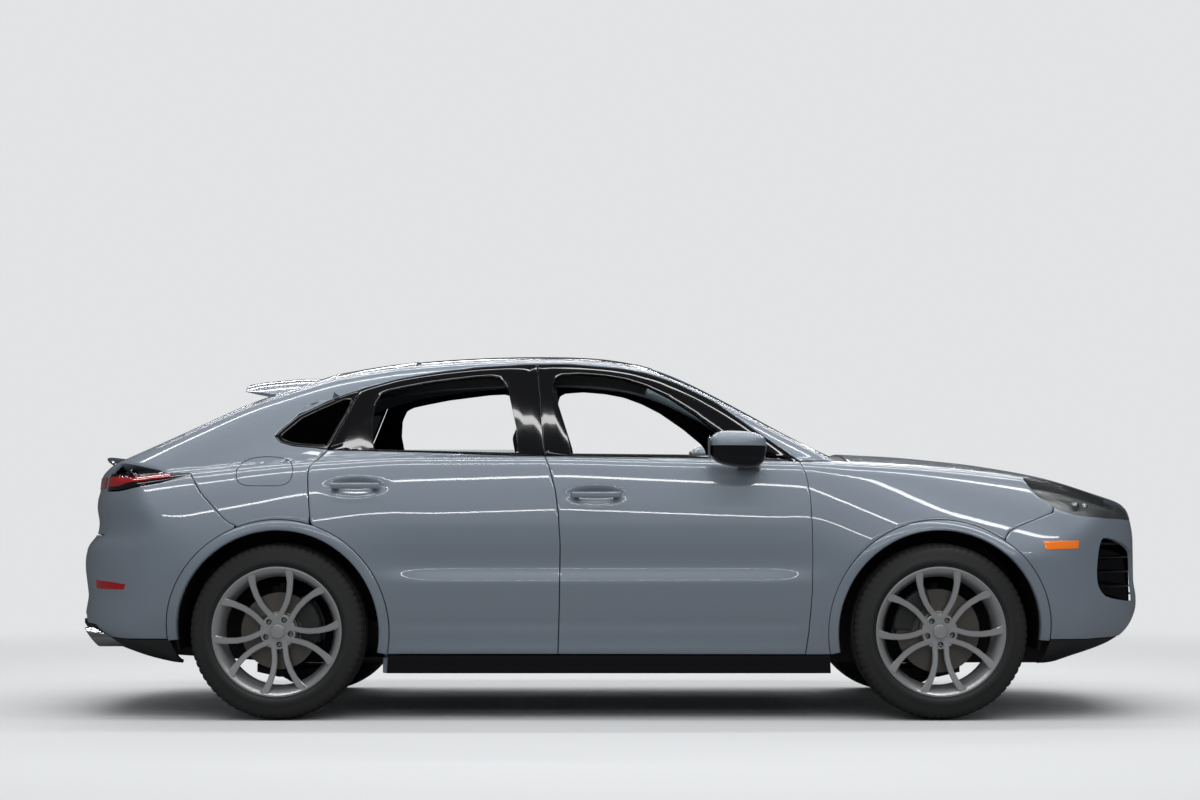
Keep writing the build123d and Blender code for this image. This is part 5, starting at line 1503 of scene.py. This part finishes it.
def spoke(name, axle, bolt_angle, side):
    """One spoke: beside a bolt hole near the hub, then out to the rim."""
    radii = spoke_radii
    shift = np.radians(np.interp(radii, *spoke_lean))
    beside = np.interp(radii, *spoke_beside)
    angle = math.radians(bolt_angle) + side * (shift + np.arcsin(np.clip(beside / radii, 0, 0.95)))
    centres = np.stack((radii * np.cos(angle), radii * np.sin(angle)), 1)
    ahead = np.gradient(centres, axis=0)
    ahead /= np.linalg.norm(ahead, axis=1)[:, None]
    across = np.stack((-ahead[:, 1], ahead[:, 0]), 1)
    half, face, deep = (np.interp(radii, *table) for table in (spoke_half, spoke_face, spoke_deep))
    rows = []
    for u, v in spoke_section:
        depth = np.where(v < 1, face + v * spoke_chamfer, face + deep)
        place = centres + across * (half * u)[:, None]
        rows.append(np.stack((axle + place[:, 0], depth, axle_z + place[:, 1]), 1))
    return lofted(name, rows)


def disc_piece(name, axle, radius, low_y, high_y, place=(0.0, 0.0), vertices=64, edge=0.003):
    """A short cylinder across the car, centred near an axle."""
    deselect()
    bpy.ops.mesh.primitive_cylinder_add(vertices=vertices, radius=radius, depth=high_y - low_y)
    piece = bpy.context.object
    piece.name = piece.data.name = name
    edit_all(piece)
    bpy.ops.transform.rotate(value=math.radians(90), orient_axis="X", center_override=(0, 0, 0))
    bpy.ops.transform.translate(value=(axle + place[0], (low_y + high_y) / 2, axle_z + place[1]))
    bpy.ops.object.mode_set(mode="OBJECT")
    return bevelled(piece, edge) if edge else piece


alloy = finish(
    "alloy", (0.30, 0.305, 0.31, 1), (0.36, 0.365, 0.37, 1), rough=(0.28, 0.36),
    scale=900.0, height=0.00005,
    Metallic=0.45, Coat_Weight=0.5,
)
rubber = finish(
    "tyre_rubber", (0.010, 0.010, 0.010, 1), (0.020, 0.020, 0.021, 1), rough=(0.62, 0.80),
    scale=600.0, height=0.0006,
)
brake_iron = finish(
    "brake_iron", (0.20, 0.185, 0.165, 1), (0.30, 0.28, 0.25, 1), rough=(0.26, 0.42),
    scale=240.0, height=0.0002,
    Metallic=0.9,
)
cast_black = finish(
    "cast_black", (0.012, 0.012, 0.013, 1), (0.026, 0.026, 0.027, 1), rough=(0.40, 0.55),
    scale=500.0, height=0.0005,
)

tread_pitches = 72
tyre_profile = [
    (0.270, -0.946), (0.285, -0.953), (0.296, -0.962), (0.300, -0.968), (0.308, -0.9695),
    (0.316, -0.9690), (0.320, -0.9665), (0.345, -0.9645), (0.362, -0.957), (0.372, -0.948),
    (0.3775, -0.938), (0.3800, -0.926), (0.3815, -0.905), (0.3745, -0.903), (0.3745, -0.893),
    (0.3835, -0.891), (0.3845, -0.853), (0.3765, -0.851), (0.3765, -0.839), (0.3850, -0.837),
]
tyre_middle_y = -0.8275
tyre_profile += [(radius, 2 * tyre_middle_y - y) for radius, y in tyre_profile[::-1]]
shoulder_points = (8, 12)
notch_depth = 0.0045


def tread_notches(angle, index):
    """Depth of the notches across the tyre's shoulders and ribs."""
    count = len(tyre_profile)
    on_shoulder = ((index >= shoulder_points[0]) & (index <= shoulder_points[1])) | (
        (count - 1 - index >= shoulder_points[0]) & (count - 1 - index <= shoulder_points[1])
    )
    step = np.rint(angle / (2 * math.pi) * tread_pitches * 4).astype(int) % 4
    return np.where(on_shoulder & (step == 0), notch_depth, 0.0)


for which, axle in (("front", front_axle_x), ("rear", rear_axle_x)):
    bolts = [first_bolt[which] + bolt_step * number for number in range(5)]
    bolt_spots = [
        (bolt_circle * math.cos(turn), bolt_circle * math.sin(turn)) for turn in map(math.radians, bolts)
    ]
    barrel = turned("barrel", barrel_profile, axle, closed=True)
    hub = disc_piece("hub", axle, 0.078, -0.922, -0.850)
    cut_by(hub, [disc_piece("bolt_hole", axle, 0.0125, -0.95, -0.885, spot, 24, 0) for spot in bolt_spots])
    spokes = [spoke("spoke", axle, angle, side) for angle in bolts for side in (1, -1)]
    cap = disc_piece("cap", axle, 0.031, -0.934, -0.900, vertices=48, edge=0.005)
    wheel = joined([barrel, hub, cap] + spokes, "wheel_%s_right_casting" % which, weld=0.000005)
    nuts = [disc_piece("nut", axle, 0.0090, -0.906, -0.880, spot, 6, 0.001) for spot in bolt_spots]
    nuts = joined(nuts, "wheel_%s_right_bolts" % which, weld=0.000005)
    tyre_name = "tyre_%s_right_moulding" % which
    tyre = turned(tyre_name, tyre_profile, axle, tread_pitches * 4, True, tread_notches)
    node = "wheel_%s_right" % which
    for piece, material, slot, replaced in (
        (wheel, alloy, "alloy", node), (nuts, chrome, "polished_metal", node),
        (tyre, rubber, "tyre_rubber", "tyre_%s_right" % which),
    ):
        pair(piece, material, node, [replaced])

# Brakes
# Cast iron discs with a turned face and a plain bell, and black cast calipers over them.
caliper_reach = 36
caliper_steps = 15
caliper_section = (
    (-0.066, -0.898), (0.012, -0.896), (0.020, -0.886), (0.020, -0.842), (-0.066, -0.842), (-0.066, -0.898),
)
for which, axle, radius, caliper_angle in (
    ("front", front_axle_x, 0.182, 142.0), ("rear", rear_axle_x, 0.168, 20.0),
):
    disc_profile = [(0.085, -0.866), (radius, -0.866), (radius, -0.852), (0.085, -0.852)]
    disc = turned("disc", disc_profile, axle, steps=72, closed=True)
    bell = disc_piece("bell", axle, 0.088, -0.882, -0.852, edge=0.006)
    disc = joined([disc, bell], "brake_disc_%s_right" % which, weld=0.000005)
    first, last = caliper_angle - caliper_reach, caliper_angle + caliper_reach
    turn = np.radians(np.linspace(first, last, caliper_steps))
    caliper = bevelled(lofted("brake_caliper_%s_right" % which, [
        np.stack((
            axle + (radius + reach) * np.cos(turn), np.full(caliper_steps, y),
            axle_z + (radius + reach) * np.sin(turn),
        ), 1) for reach, y in caliper_section
    ]), 0.005, 3, 40)
    body = "knuckle_right" if which == "front" else "root"
    for piece, material in ((disc, brake_iron), (caliper, cast_black)):
        pair(piece, material, body)

# Arch trims
# Painted plastic lips round the wheel openings, clipped over the edges of the panels and
# rolled inwards to the wheel houses.
trim_profile = [
    (0.4400, 0.034), (0.4405, 0.012), (0.4420, 0.003), (0.4460, -0.0020), (0.4520, -0.0035),
    (0.4640, -0.0035), (0.4780, -0.0025), (0.4850, -0.0010), (0.4868, 0.0030),
]
trim_spans = {
    "front": (front_axle_x, -5.0, 192.0), "rear": (rear_axle_x, -12.0, 184.8),
}
for which, (axle, low_angle, high_angle) in trim_spans.items():
    rows = []
    for radius, inset in trim_profile:
        places = arch_line(axle, radius, low_angle, high_angle, 90)
        rows.append(pressed(np.array([[x, -1.0, z] for x, z in places]), 1, inset))
    trim = panel("%s_arch_trim_right" % which, np.array(rows)[::-1], 0.006, 0.001)
    pair(trim, body_paint, "root", ["arch_trims"])

# Mirrors
# Painted cap over a black housing, on a black foot at the front corner of each door window.
mirror_centre = (0.553, -1.012, 1.186)
mirror_half = (0.124, 0.084, 0.078)
mirror_power = 0.66
mirror_drop = 0.55
mirror_belly = 0.90
mirror_taper = 0.16
cap_angle = math.radians(2)


def mirror_shell(name, low_turn, high_turn, grow=0.0):
    """Part of a rounded block, between two angles above the level, open at the cut."""
    around = np.linspace(0, 2 * math.pi, 65)[None, :]
    rise = np.linspace(low_turn, high_turn, 17)[:, None]

    def power(value):
        return np.sign(value) * np.abs(value) ** mirror_power

    x = power(np.cos(around)) * power(np.cos(rise))
    y = power(np.sin(around)) * power(np.cos(rise))
    z = power(np.sin(rise)) + 0 * around
    forward = x * 0.5 + 0.5
    taper = 1 - mirror_taper * forward
    lower = np.where(z < 0, mirror_belly + mirror_drop * forward, 1.0)
    half = np.array(mirror_half) + grow
    return lofted(name, np.stack((
        mirror_centre[0] + half[0] * x, mirror_centre[1] + half[1] * y * taper,
        mirror_centre[2] + half[2] * z * taper * lower,
    ), -1))


cap = mirror_shell("mirror_cap_right", cap_angle, math.pi / 2, 0.001)
shell = mirror_shell("part", -math.pi / 2, cap_angle)
foot_bulge = 0.004
foot_rows = []
for x_low, x_high, y, z_low, z_high in (
    (0.560, 0.668, -0.830, 1.095, 1.152), (0.560, 0.662, -0.880, 1.086, 1.150),
    (0.558, 0.650, -0.930, 1.088, 1.150), (0.560, 0.630, -0.985, 1.100, 1.160),
):
    z_middle = (z_low + z_high) / 2
    foot_rows.append([
        (x_low, y, z_low), (x_high, y, z_low), (x_high + foot_bulge, y, z_middle), (x_high, y, z_high),
        (x_low, y, z_high), (x_low - foot_bulge, y, z_middle), (x_low, y, z_low),
    ])
foot = bevelled(lofted("part", foot_rows), 0.005, 3, 40)
housing = joined([shell, foot], "mirror_housing_right", weld=0.000005)
mirror_glass = box_piece("mirror_glass_right", (0.4265, -1.075, 1.140), (0.4310, -0.948, 1.232), edge=0.002)
for piece, material, slot in (
    (cap, body_paint, "body_paint"), (housing, gloss_black, "gloss_black"), (mirror_glass, chrome, "glass"),
):
    pair(piece, material, "door_front_right", ["mirror_right"])

# Fuel flap
# A round-cornered flap in the right-hand quarter, flush with it, over a black filler bowl.
flap_places = [
    (-1.523, 1.021), (-1.397, 1.021), (-1.397, 1.152), (-1.649, 1.152), (-1.649, 1.021), (-1.523, 1.021),
]
flap_outline = softened(flap_places, 3)[:-1]


def side_cutter(name, outline, low_y, high_y):
    """A prism across the car from a side view outline."""
    cutter = prism_cutter(name, outline, low_y, high_y)
    flat = np.zeros(len(cutter.data.vertices) * 3)
    cutter.data.vertices.foreach_get("co", flat)
    flat = flat.reshape(-1, 3)[:, [1, 0, 2]]
    cutter.data.vertices.foreach_set("co", flat.reshape(-1))
    cutter.data.update()
    return faced(cutter)


flap_gap = 0.0015
cut_by(body_side, [side_cutter("cutter", set_in(flap_outline, -flap_gap), -1.05, -0.70)])
flap = pane_piece("fuel_flap_panel", set_in(flap_outline, flap_gap), 0.0, rows=10)
finished(flap, body_paint, "fuel_flap", ["fuel_flap"])
bowl_depth = 0.060
bowl_corners = [(-1.665, 1.005), (-1.380, 1.005), (-1.665, 1.165), (-1.380, 1.165)]
bowl_lines = [
    side_line([bowl_corners[a], bowl_corners[b]], bowl_depth) for a, b in ((0, 1), (2, 3), (0, 2), (1, 3))
]
bowl = panel("filler_bowl", patch(*bowl_lines, counts=(16, 10), gap=0, inset=bowl_depth), 0.004, 0.0)
filler = disc_piece("filler_cap", 0.0, 0.036, -0.862, -0.800, (-1.530, 1.070 - axle_z), 40, 0.006)
bowl = joined([bowl, filler], "filler_bowl", weld=0.000005)
finished(bowl, black_plastic, "root")

# Seats
# Two front seats and a rear bench. Each pad is foam under black leather, blown up from a cut
# shape with cloth pressure, then sewn down along its seams.
leather = finish(
    "leather", (0.010, 0.010, 0.011, 1), (0.021, 0.021, 0.022, 1), rough=(0.42, 0.58),
    scale=420.0, height=0.0006,
)
pad_voxel = 0.010
pad_frames = 20
pad_pressure = 4.0
pad_swell = 0.018
seam_depth = 0.006
seam_width = 0.007
pad_rows = 14
pad_end = 0.65
bolster_from = 0.55
bolster_reach = 0.30


def upholstery(name, path, widths, thick, bolster, middle_y, count=30):
    """A padded shape along a path of (x, z) places, with raised sides. Its back is the path."""
    path = even(path, pad_rows)
    ahead = np.gradient(path, axis=0)
    ahead /= np.linalg.norm(ahead, axis=1)[:, None]
    normal = np.stack((-ahead[:, 1], ahead[:, 0]), 1)
    share = np.linspace(0, 1, pad_rows)
    half = np.interp(share, np.linspace(0, 1, len(widths)), widths)
    squeeze = (1 - np.abs(2 * share - 1) ** 8) * (1 - pad_end) + pad_end
    across = np.sin(np.linspace(-math.pi / 2, math.pi / 2, count))
    side = np.clip((np.abs(across) - bolster_from) / bolster_reach, 0, 1)
    lift = thick + bolster * side * (1 - np.abs(across) ** 10)
    lift = lift * np.sqrt(np.clip(1 - np.abs(across) ** 8, 0.02, 1))
    rows = []
    for turn in np.concatenate((np.arange(count), -np.arange(count)[::-1] - 1)):
        front = turn >= 0
        index = turn if front else -turn - 1
        deep = lift[index] * squeeze if front else 0 * squeeze
        spot = path + normal * deep[:, None]
        rows.append(np.stack((spot[:, 0], middle_y + half * squeeze * across[index], spot[:, 1]), 1))
    rows.append(rows[0])
    return lofted(name, rows, 0.0005)


def blown(piece, seams=(), axis=2):
    """Remeshes a pad, swells it with cloth pressure, and sews it down at its seams."""
    modified(piece, "REMESH", mode="VOXEL", voxel_size=pad_voxel)
    before = np.zeros(len(piece.data.vertices) * 3)
    piece.data.vertices.foreach_get("co", before)
    pick(piece)
    cloth = piece.modifiers.new("cloth", "CLOTH")
    cloth.settings.use_pressure = True
    cloth.settings.uniform_pressure_force = pad_pressure
    cloth.settings.effector_weights.gravity = 0
    cloth.settings.quality = 4
    cloth.point_cache.frame_start, cloth.point_cache.frame_end = 1, pad_frames
    for number in range(1, pad_frames + 1):
        bpy.context.scene.frame_set(number)
    bpy.ops.object.modifier_apply(modifier="cloth")
    bpy.context.scene.frame_set(1)
    after = np.zeros(len(before))
    piece.data.vertices.foreach_get("co", after)
    move = (after - before).reshape(-1, 3)
    far = np.linalg.norm(move, axis=1)
    move *= np.minimum(1, pad_swell / np.maximum(far, 1e-6))[:, None]
    points = before.reshape(-1, 3) + move
    normals = np.zeros(len(before))
    piece.data.vertices.foreach_get("normal", normals)
    for place in seams:
        pull = seam_depth * np.exp(-((points[:, axis] - place) / seam_width) ** 2)
        points -= normals.reshape(-1, 3) * pull[:, None]
    piece.data.vertices.foreach_set("co", points.reshape(-1))
    piece.data.update()
    return modified(piece, "SUBSURF", levels=1, render_levels=1)


seat_y = -0.370
bench_y = -0.330
pads = [
    ("front_cushion", [(-0.215, 0.405), (-0.05, 0.400), (0.16, 0.425), (0.285, 0.440)],
     [0.215, 0.235, 0.235, 0.20], 0.105, 0.045, seat_y, (-0.06, 0.12), 0, "front_seats"),
    ("front_back", [(-0.275, 0.485), (-0.330, 0.70), (-0.385, 0.90), (-0.430, 1.075)],
     [0.215, 0.235, 0.225, 0.16], -0.095, -0.040, seat_y, (0.62, 0.78, 0.94), 2, "front_seats"),
    ("front_headrest", [(-0.418, 1.130), (-0.432, 1.21), (-0.440, 1.290)],
     [0.115, 0.130, 0.110], -0.080, 0.0, seat_y, (), 2, "front_seats"),
    ("bench_cushion", [(-1.02, 0.430), (-0.80, 0.425), (-0.56, 0.450)],
     [0.290, 0.295, 0.285], 0.110, 0.018, bench_y, (-0.90, -0.72), 0, "rear_bench"),
    ("bench_back", [(-1.065, 0.510), (-1.130, 0.75), (-1.205, 1.02)],
     [0.290, 0.290, 0.265], -0.095, -0.018, bench_y, (0.66, 0.84), 2, "rear_bench"),
    ("bench_headrest", [(-1.205, 1.060), (-1.222, 1.13), (-1.235, 1.195)],
     [0.105, 0.115, 0.095], -0.070, 0.0, bench_y, (), 2, "rear_bench"),
]
for name, path, widths, thick, bolster, middle_y, seams, axis, node in pads:
    pad = blown(upholstery(name + "_right", path, widths, thick, bolster, middle_y), seams, axis)
    twin = pair(pad, leather, "root", [node], angle=60)

# Seat frames
# Moulded shells and rails under the front seats, steel headrest posts, and the boxed base
# of the bench.
frame_parts = []
for y in (seat_y, -seat_y):
    for x_low, y_low, z_low, x_high, y_high, z_high, edge, segments in (
        (-0.20, -0.215, 0.330, 0.26, 0.215, 0.400, 0.025, 4),
        (-0.16, -0.190, 0.262, 0.20, -0.160, 0.335, 0.006, 3),
        (-0.16, 0.160, 0.262, 0.20, 0.190, 0.335, 0.006, 3),
        (-0.455, -0.190, 0.520, -0.415, 0.190, 0.860, 0.018, 4),
        (-0.447, -0.066, 0.960, -0.436, -0.054, 1.16, 0.004, 3),
        (-0.447, 0.054, 0.960, -0.436, 0.066, 1.16, 0.004, 3),
        (-0.19, -0.243, 0.300, 0.22, -0.222, 0.400, 0.008, 3),
        (-0.19, 0.222, 0.300, 0.22, 0.243, 0.400, 0.008, 3),
    ):
        frame_parts.append(box_piece(
            "part", (x_low, y + y_low, z_low), (x_high, y + y_high, z_high), edge, segments,
        ))
seat_frames = joined(frame_parts, "front_seat_frames", weld=0.000005)
finished(seat_frames, soft_plastic, "root", ["front_seats"])
bench_parts = [box_piece("part", low, high, edge, 4) for low, high, edge in (
    ((-1.18, -0.60, 0.262), (-0.56, 0.60, 0.425), 0.02),
    ((-1.262, -0.55, 0.55), (-1.215, 0.55, 1.01), 0.015),
    ((-1.00, -0.045, 0.42), (-0.58, 0.045, 0.535), 0.02),
    ((-1.215, -0.045, 0.52), (-1.085, 0.045, 0.98), 0.02),
)]
bench_base = joined(bench_parts, "bench_base", weld=0.000005)
finished(bench_base, leather, "root", ["rear_bench"])

# Cabin trim
# Moulded dashboard with a screen and vents, a console between the seats, carpet, headliner
# and load cover.


def extruded(name, outline, low_y, high_y, edge=0.02):
    """A side view outline stretched across the car, with rounded edges."""
    return bevelled(side_cutter(name, outline, low_y, high_y), edge, 5, 20)


dash_outline = [
    (0.900, 1.060), (0.640, 1.092), (0.520, 1.070), (0.490, 1.020), (0.500, 0.960), (0.545, 0.900),
    (0.540, 0.800), (0.600, 0.620), (0.900, 0.600),
]
hood_outline = [
    (0.700, 1.090), (0.560, 1.116), (0.470, 1.096), (0.455, 1.075), (0.520, 1.050), (0.700, 1.040),
]
console_outline = [
    (0.560, 0.270), (0.560, 0.720), (0.430, 0.640), (0.250, 0.560), (0.050, 0.550), (-0.160, 0.600),
    (-0.175, 0.270),
]
dash_parts = [
    extruded("part", dash_outline, -0.720, 0.720), extruded("part", hood_outline, 0.200, 0.560, 0.012),
    extruded("part", console_outline, -0.120, 0.120),
]
dash = joined(dash_parts, "dashboard_moulding", weld=0.000005)
finished(dash, soft_plastic, "root", ["dashboard"])
screen_parts = [
    box_piece("part", (0.478, -0.170, 0.905), (0.500, 0.160, 1.030), edge=0.006),
    box_piece("part", (0.492, 0.240, 0.985), (0.510, 0.500, 1.052), edge=0.006),
    box_piece("part", (0.535, -0.62, 0.830), (0.552, -0.30, 0.870), edge=0.004),
    box_piece("part", (0.060, -0.085, 0.540), (0.360, 0.085, 0.592), edge=0.010),
]
screens = joined(screen_parts, "dashboard_screens", weld=0.000005)
finished(screens, gloss_black, "root", ["dashboard"])

carpet_material = finish(
    "carpet", (0.008, 0.008, 0.008, 1), (0.030, 0.030, 0.031, 1), rough=(0.85, 0.98),
    scale=1800.0, height=0.0020,
)
carpet = joined([box_piece("part", low, high, 0.004) for low, high in (
    ((-1.25, -0.735, 0.2505), (0.900, 0.735, 0.262)), ((0.760, -0.700, 0.262), (0.900, 0.700, 0.640)),
    ((-2.25, -0.520, 0.660), (-1.28, 0.520, 0.675)),
)], "cabin_carpet", weld=0.000005)
finished(carpet, carpet_material, "root")
cover_height = 1.050
cover_rise = 0.03
cover_rows = ((-1.275, 0.68), (-1.45, 0.66), (-1.70, 0.64), (-1.90, 0.62))
cover_points = np.array([
    [(x, y * width, cover_height + cover_rise * (x + 1.9)) for x, width in cover_rows]
    for y in np.linspace(-1, 1, 15)
])
cover = panel("load_cover", cover_points, 0.010, 0.003)
finished(cover, carpet_material, "root")
liner_inset = 0.030
liner_corners = [(-1.24, -0.590), (0.19, -0.590), (-1.24, 0.0), (0.19, 0.0)]
liner_lines = [
    top_line([liner_corners[a], liner_corners[b]], liner_inset) for a, b in ((0, 1), (2, 3), (0, 2), (1, 3))
]
liner_half = half_points(*liner_lines, counts=(40, 20), inset=liner_inset)
liner_material = finish(
    "headliner", (0.030, 0.030, 0.031, 1), (0.055, 0.055, 0.056, 1), rough=(0.85, 0.95),
    scale=1500.0, height=0.0008,
)
liner = full_panel("headliner", [liner_half], 0.012)
finished(liner, liner_material, "root", ["roof_panel"])

# Steering wheel
# A leather rim on three spokes with a plain padded boss, square to the sloping column.
rim_centre = (0.365, 0.370, 0.990)
rim_lean = 65.0
deselect()
bpy.ops.mesh.primitive_torus_add(
    major_radius=0.176, minor_radius=0.0155, major_segments=72, minor_segments=20,
)
wheel_parts = [bpy.context.object]
for low, high, edge in (
    ((-0.060, -0.050, -0.020), (0.060, 0.055, 0.022), 0.020),
    ((-0.170, -0.016, -0.006), (-0.050, 0.020, 0.006), 0.005),
    ((0.050, -0.016, -0.006), (0.170, 0.020, 0.006), 0.005),
    ((-0.014, -0.172, -0.006), (0.014, -0.040, 0.006), 0.005),
):
    wheel_parts.append(box_piece("part", low, high, edge, 4))
steering = joined(wheel_parts, "steering_wheel_rim", weld=0.000005)
edit_all(steering)
bpy.ops.transform.rotate(value=math.radians(-90), orient_axis="Z", center_override=(0, 0, 0))
bpy.ops.transform.rotate(value=math.radians(rim_lean), orient_axis="Y", center_override=(0, 0, 0))
bpy.ops.transform.translate(value=rim_centre)
bpy.ops.object.mode_set(mode="OBJECT")
finished(steering, leather, "steering_wheel", ["steering_wheel"])

# Chassis
# The welded underbody, the suspension, the hubs and the engine keep their solid shapes. They
# are steel and cast metal under a dark wax and road dust.
waxed_steel = finish(
    "chassis_metal", (0.014, 0.014, 0.014, 1), (0.040, 0.038, 0.036, 1), rough=(0.55, 0.80), scale=60.0,
    height=0.0010, Metallic=0.3,
)
cast_metal = finish(
    "cast_metal", (0.10, 0.10, 0.098, 1), (0.20, 0.195, 0.19, 1), rough=(0.40, 0.60),
    scale=220.0, height=0.0008,
    Metallic=0.8,
)
for name, material, slot in (
    ("underbody", waxed_steel, "chassis_metal"), ("front_suspension", waxed_steel, "chassis_metal"),
    ("rear_suspension", waxed_steel, "chassis_metal"), ("engine_block", cast_metal, "cast_metal"),
    ("knuckle_left", cast_metal, "cast_metal"), ("knuckle_right", cast_metal, "cast_metal"),
    ("door_glass_rear_left", clear_glass, "glass"),
):
    node = frame["nodes"][name]
    node.data.materials.clear()
    node.data.materials.append(material)

# Stage
# A pale floor that fades into a pale background. The gloss of the paint sees a darker floor
# and darker walls, as in a hall.
floor_reach = 45.0
fade_start = 2.9
fade_end = 8.5
deselect()
bpy.ops.mesh.primitive_plane_add(size=2 * floor_reach)
floor = bpy.context.object
floor.name = "floor"
stage_material, tree, shader = nodes_of("stage")
shader.inputs["Roughness"].default_value = 0.80
shader.inputs["Specular IOR Level"].default_value = 0.2
place = new_node(tree, "TexCoord")
length = new_node(tree, "VectorMath", operation="LENGTH")
fade_range = {"From Min": fade_start, "From Max": fade_end}
fade = new_node(tree, "MapRange", fade_range, interpolation_type="SMOOTHSTEP")
ray = new_node(tree, "LightPath")
floor_tones = {"A": (0.70, 0.705, 0.71, 1), "B": (0.090, 0.092, 0.095, 1)}
tone = new_node(tree, "Mix", floor_tones, data_type="RGBA")
clear = new_node(tree, "BsdfTransparent")
mix = new_node(tree, "MixShader")
wired(
    tree, (place, "Object", length, 0), (length, "Value", fade, "Value"),
    (ray, "Is Glossy Ray", tone, "Factor"), (tone, "Result", shader, "Base Color"),
    (fade, "Result", mix, "Fac"), (shader, "BSDF", mix, 1), (clear, "BSDF", mix, 2),
    (mix, "Shader", tree.nodes["Material Output"], "Surface"),
)
floor.data.materials.append(stage_material)

world = bpy.data.worlds.new("studio")
bpy.context.scene.world = world
world.use_nodes = True
tree = world.node_tree
around = tree.nodes["Background"]
ray = new_node(tree, "LightPath")
hall_tones = {"A": (0.34, 0.355, 0.37, 1), "B": (0.075, 0.080, 0.086, 1)}
dim = new_node(tree, "Mix", hall_tones, data_type="RGBA")
seen = new_node(tree, "Background", {"Color": (0.76, 0.77, 0.78, 1)})
mix = new_node(tree, "MixShader")
wired(
    tree, (ray, "Is Glossy Ray", dim, "Factor"), (dim, "Result", around, "Color"),
    (ray, "Is Camera Ray", mix, "Fac"), (around, "Background", mix, 1),
    (seen, "Background", mix, 2), (mix, "Shader", tree.nodes["World Output"], "Surface"),
)

# Lights
# Soft strips along the car like a hall's light tubes, four on each side. Each has its y, z,
# tilt in degrees, length, width and power. They show in the paint, and not to the camera.
strips = (
    (1.3, 5.2, 0, 9.0, 0.24, 120), (3.6, 5.0, 30, 9.0, 0.20, 95), (6.2, 4.6, 50, 9.0, 0.12, 62),
    (9.0, 3.6, 70, 8.0, 0.09, 44),
)
for number, (side, (y, z, tilt, long, wide, power)) in enumerate(
    (side, strip) for strip in strips for side in (-1, 1)
):
    light = bpy.data.lights.new("strip_%d" % number, "AREA")
    light.shape = "RECTANGLE"
    light.size, light.size_y, light.energy = long, wide, power
    holder = bpy.data.objects.new(light.name, light)
    holder.location = (0, side * y, z)
    holder.rotation_euler = (math.radians(-side * tilt), 0, 0)
    holder.visible_camera = False
    bpy.context.scene.collection.objects.link(holder)

# Camera
# It stands square to the right-hand side of the car, a little below the door handles, and
# looks up a little.
camera_place = (-0.046, -10.5, 0.871)
camera_pitch = 3.15
camera_lens = 65.46
camera = bpy.data.cameras.new("camera")
camera.lens = camera_lens
camera.sensor_width = 36.0
camera_holder = bpy.data.objects.new("camera", camera)
camera_holder.location = camera_place
camera_holder.rotation_euler = (math.radians(90 + camera_pitch), 0, 0)
bpy.context.scene.collection.objects.link(camera_holder)
bpy.context.scene.camera = camera_holder
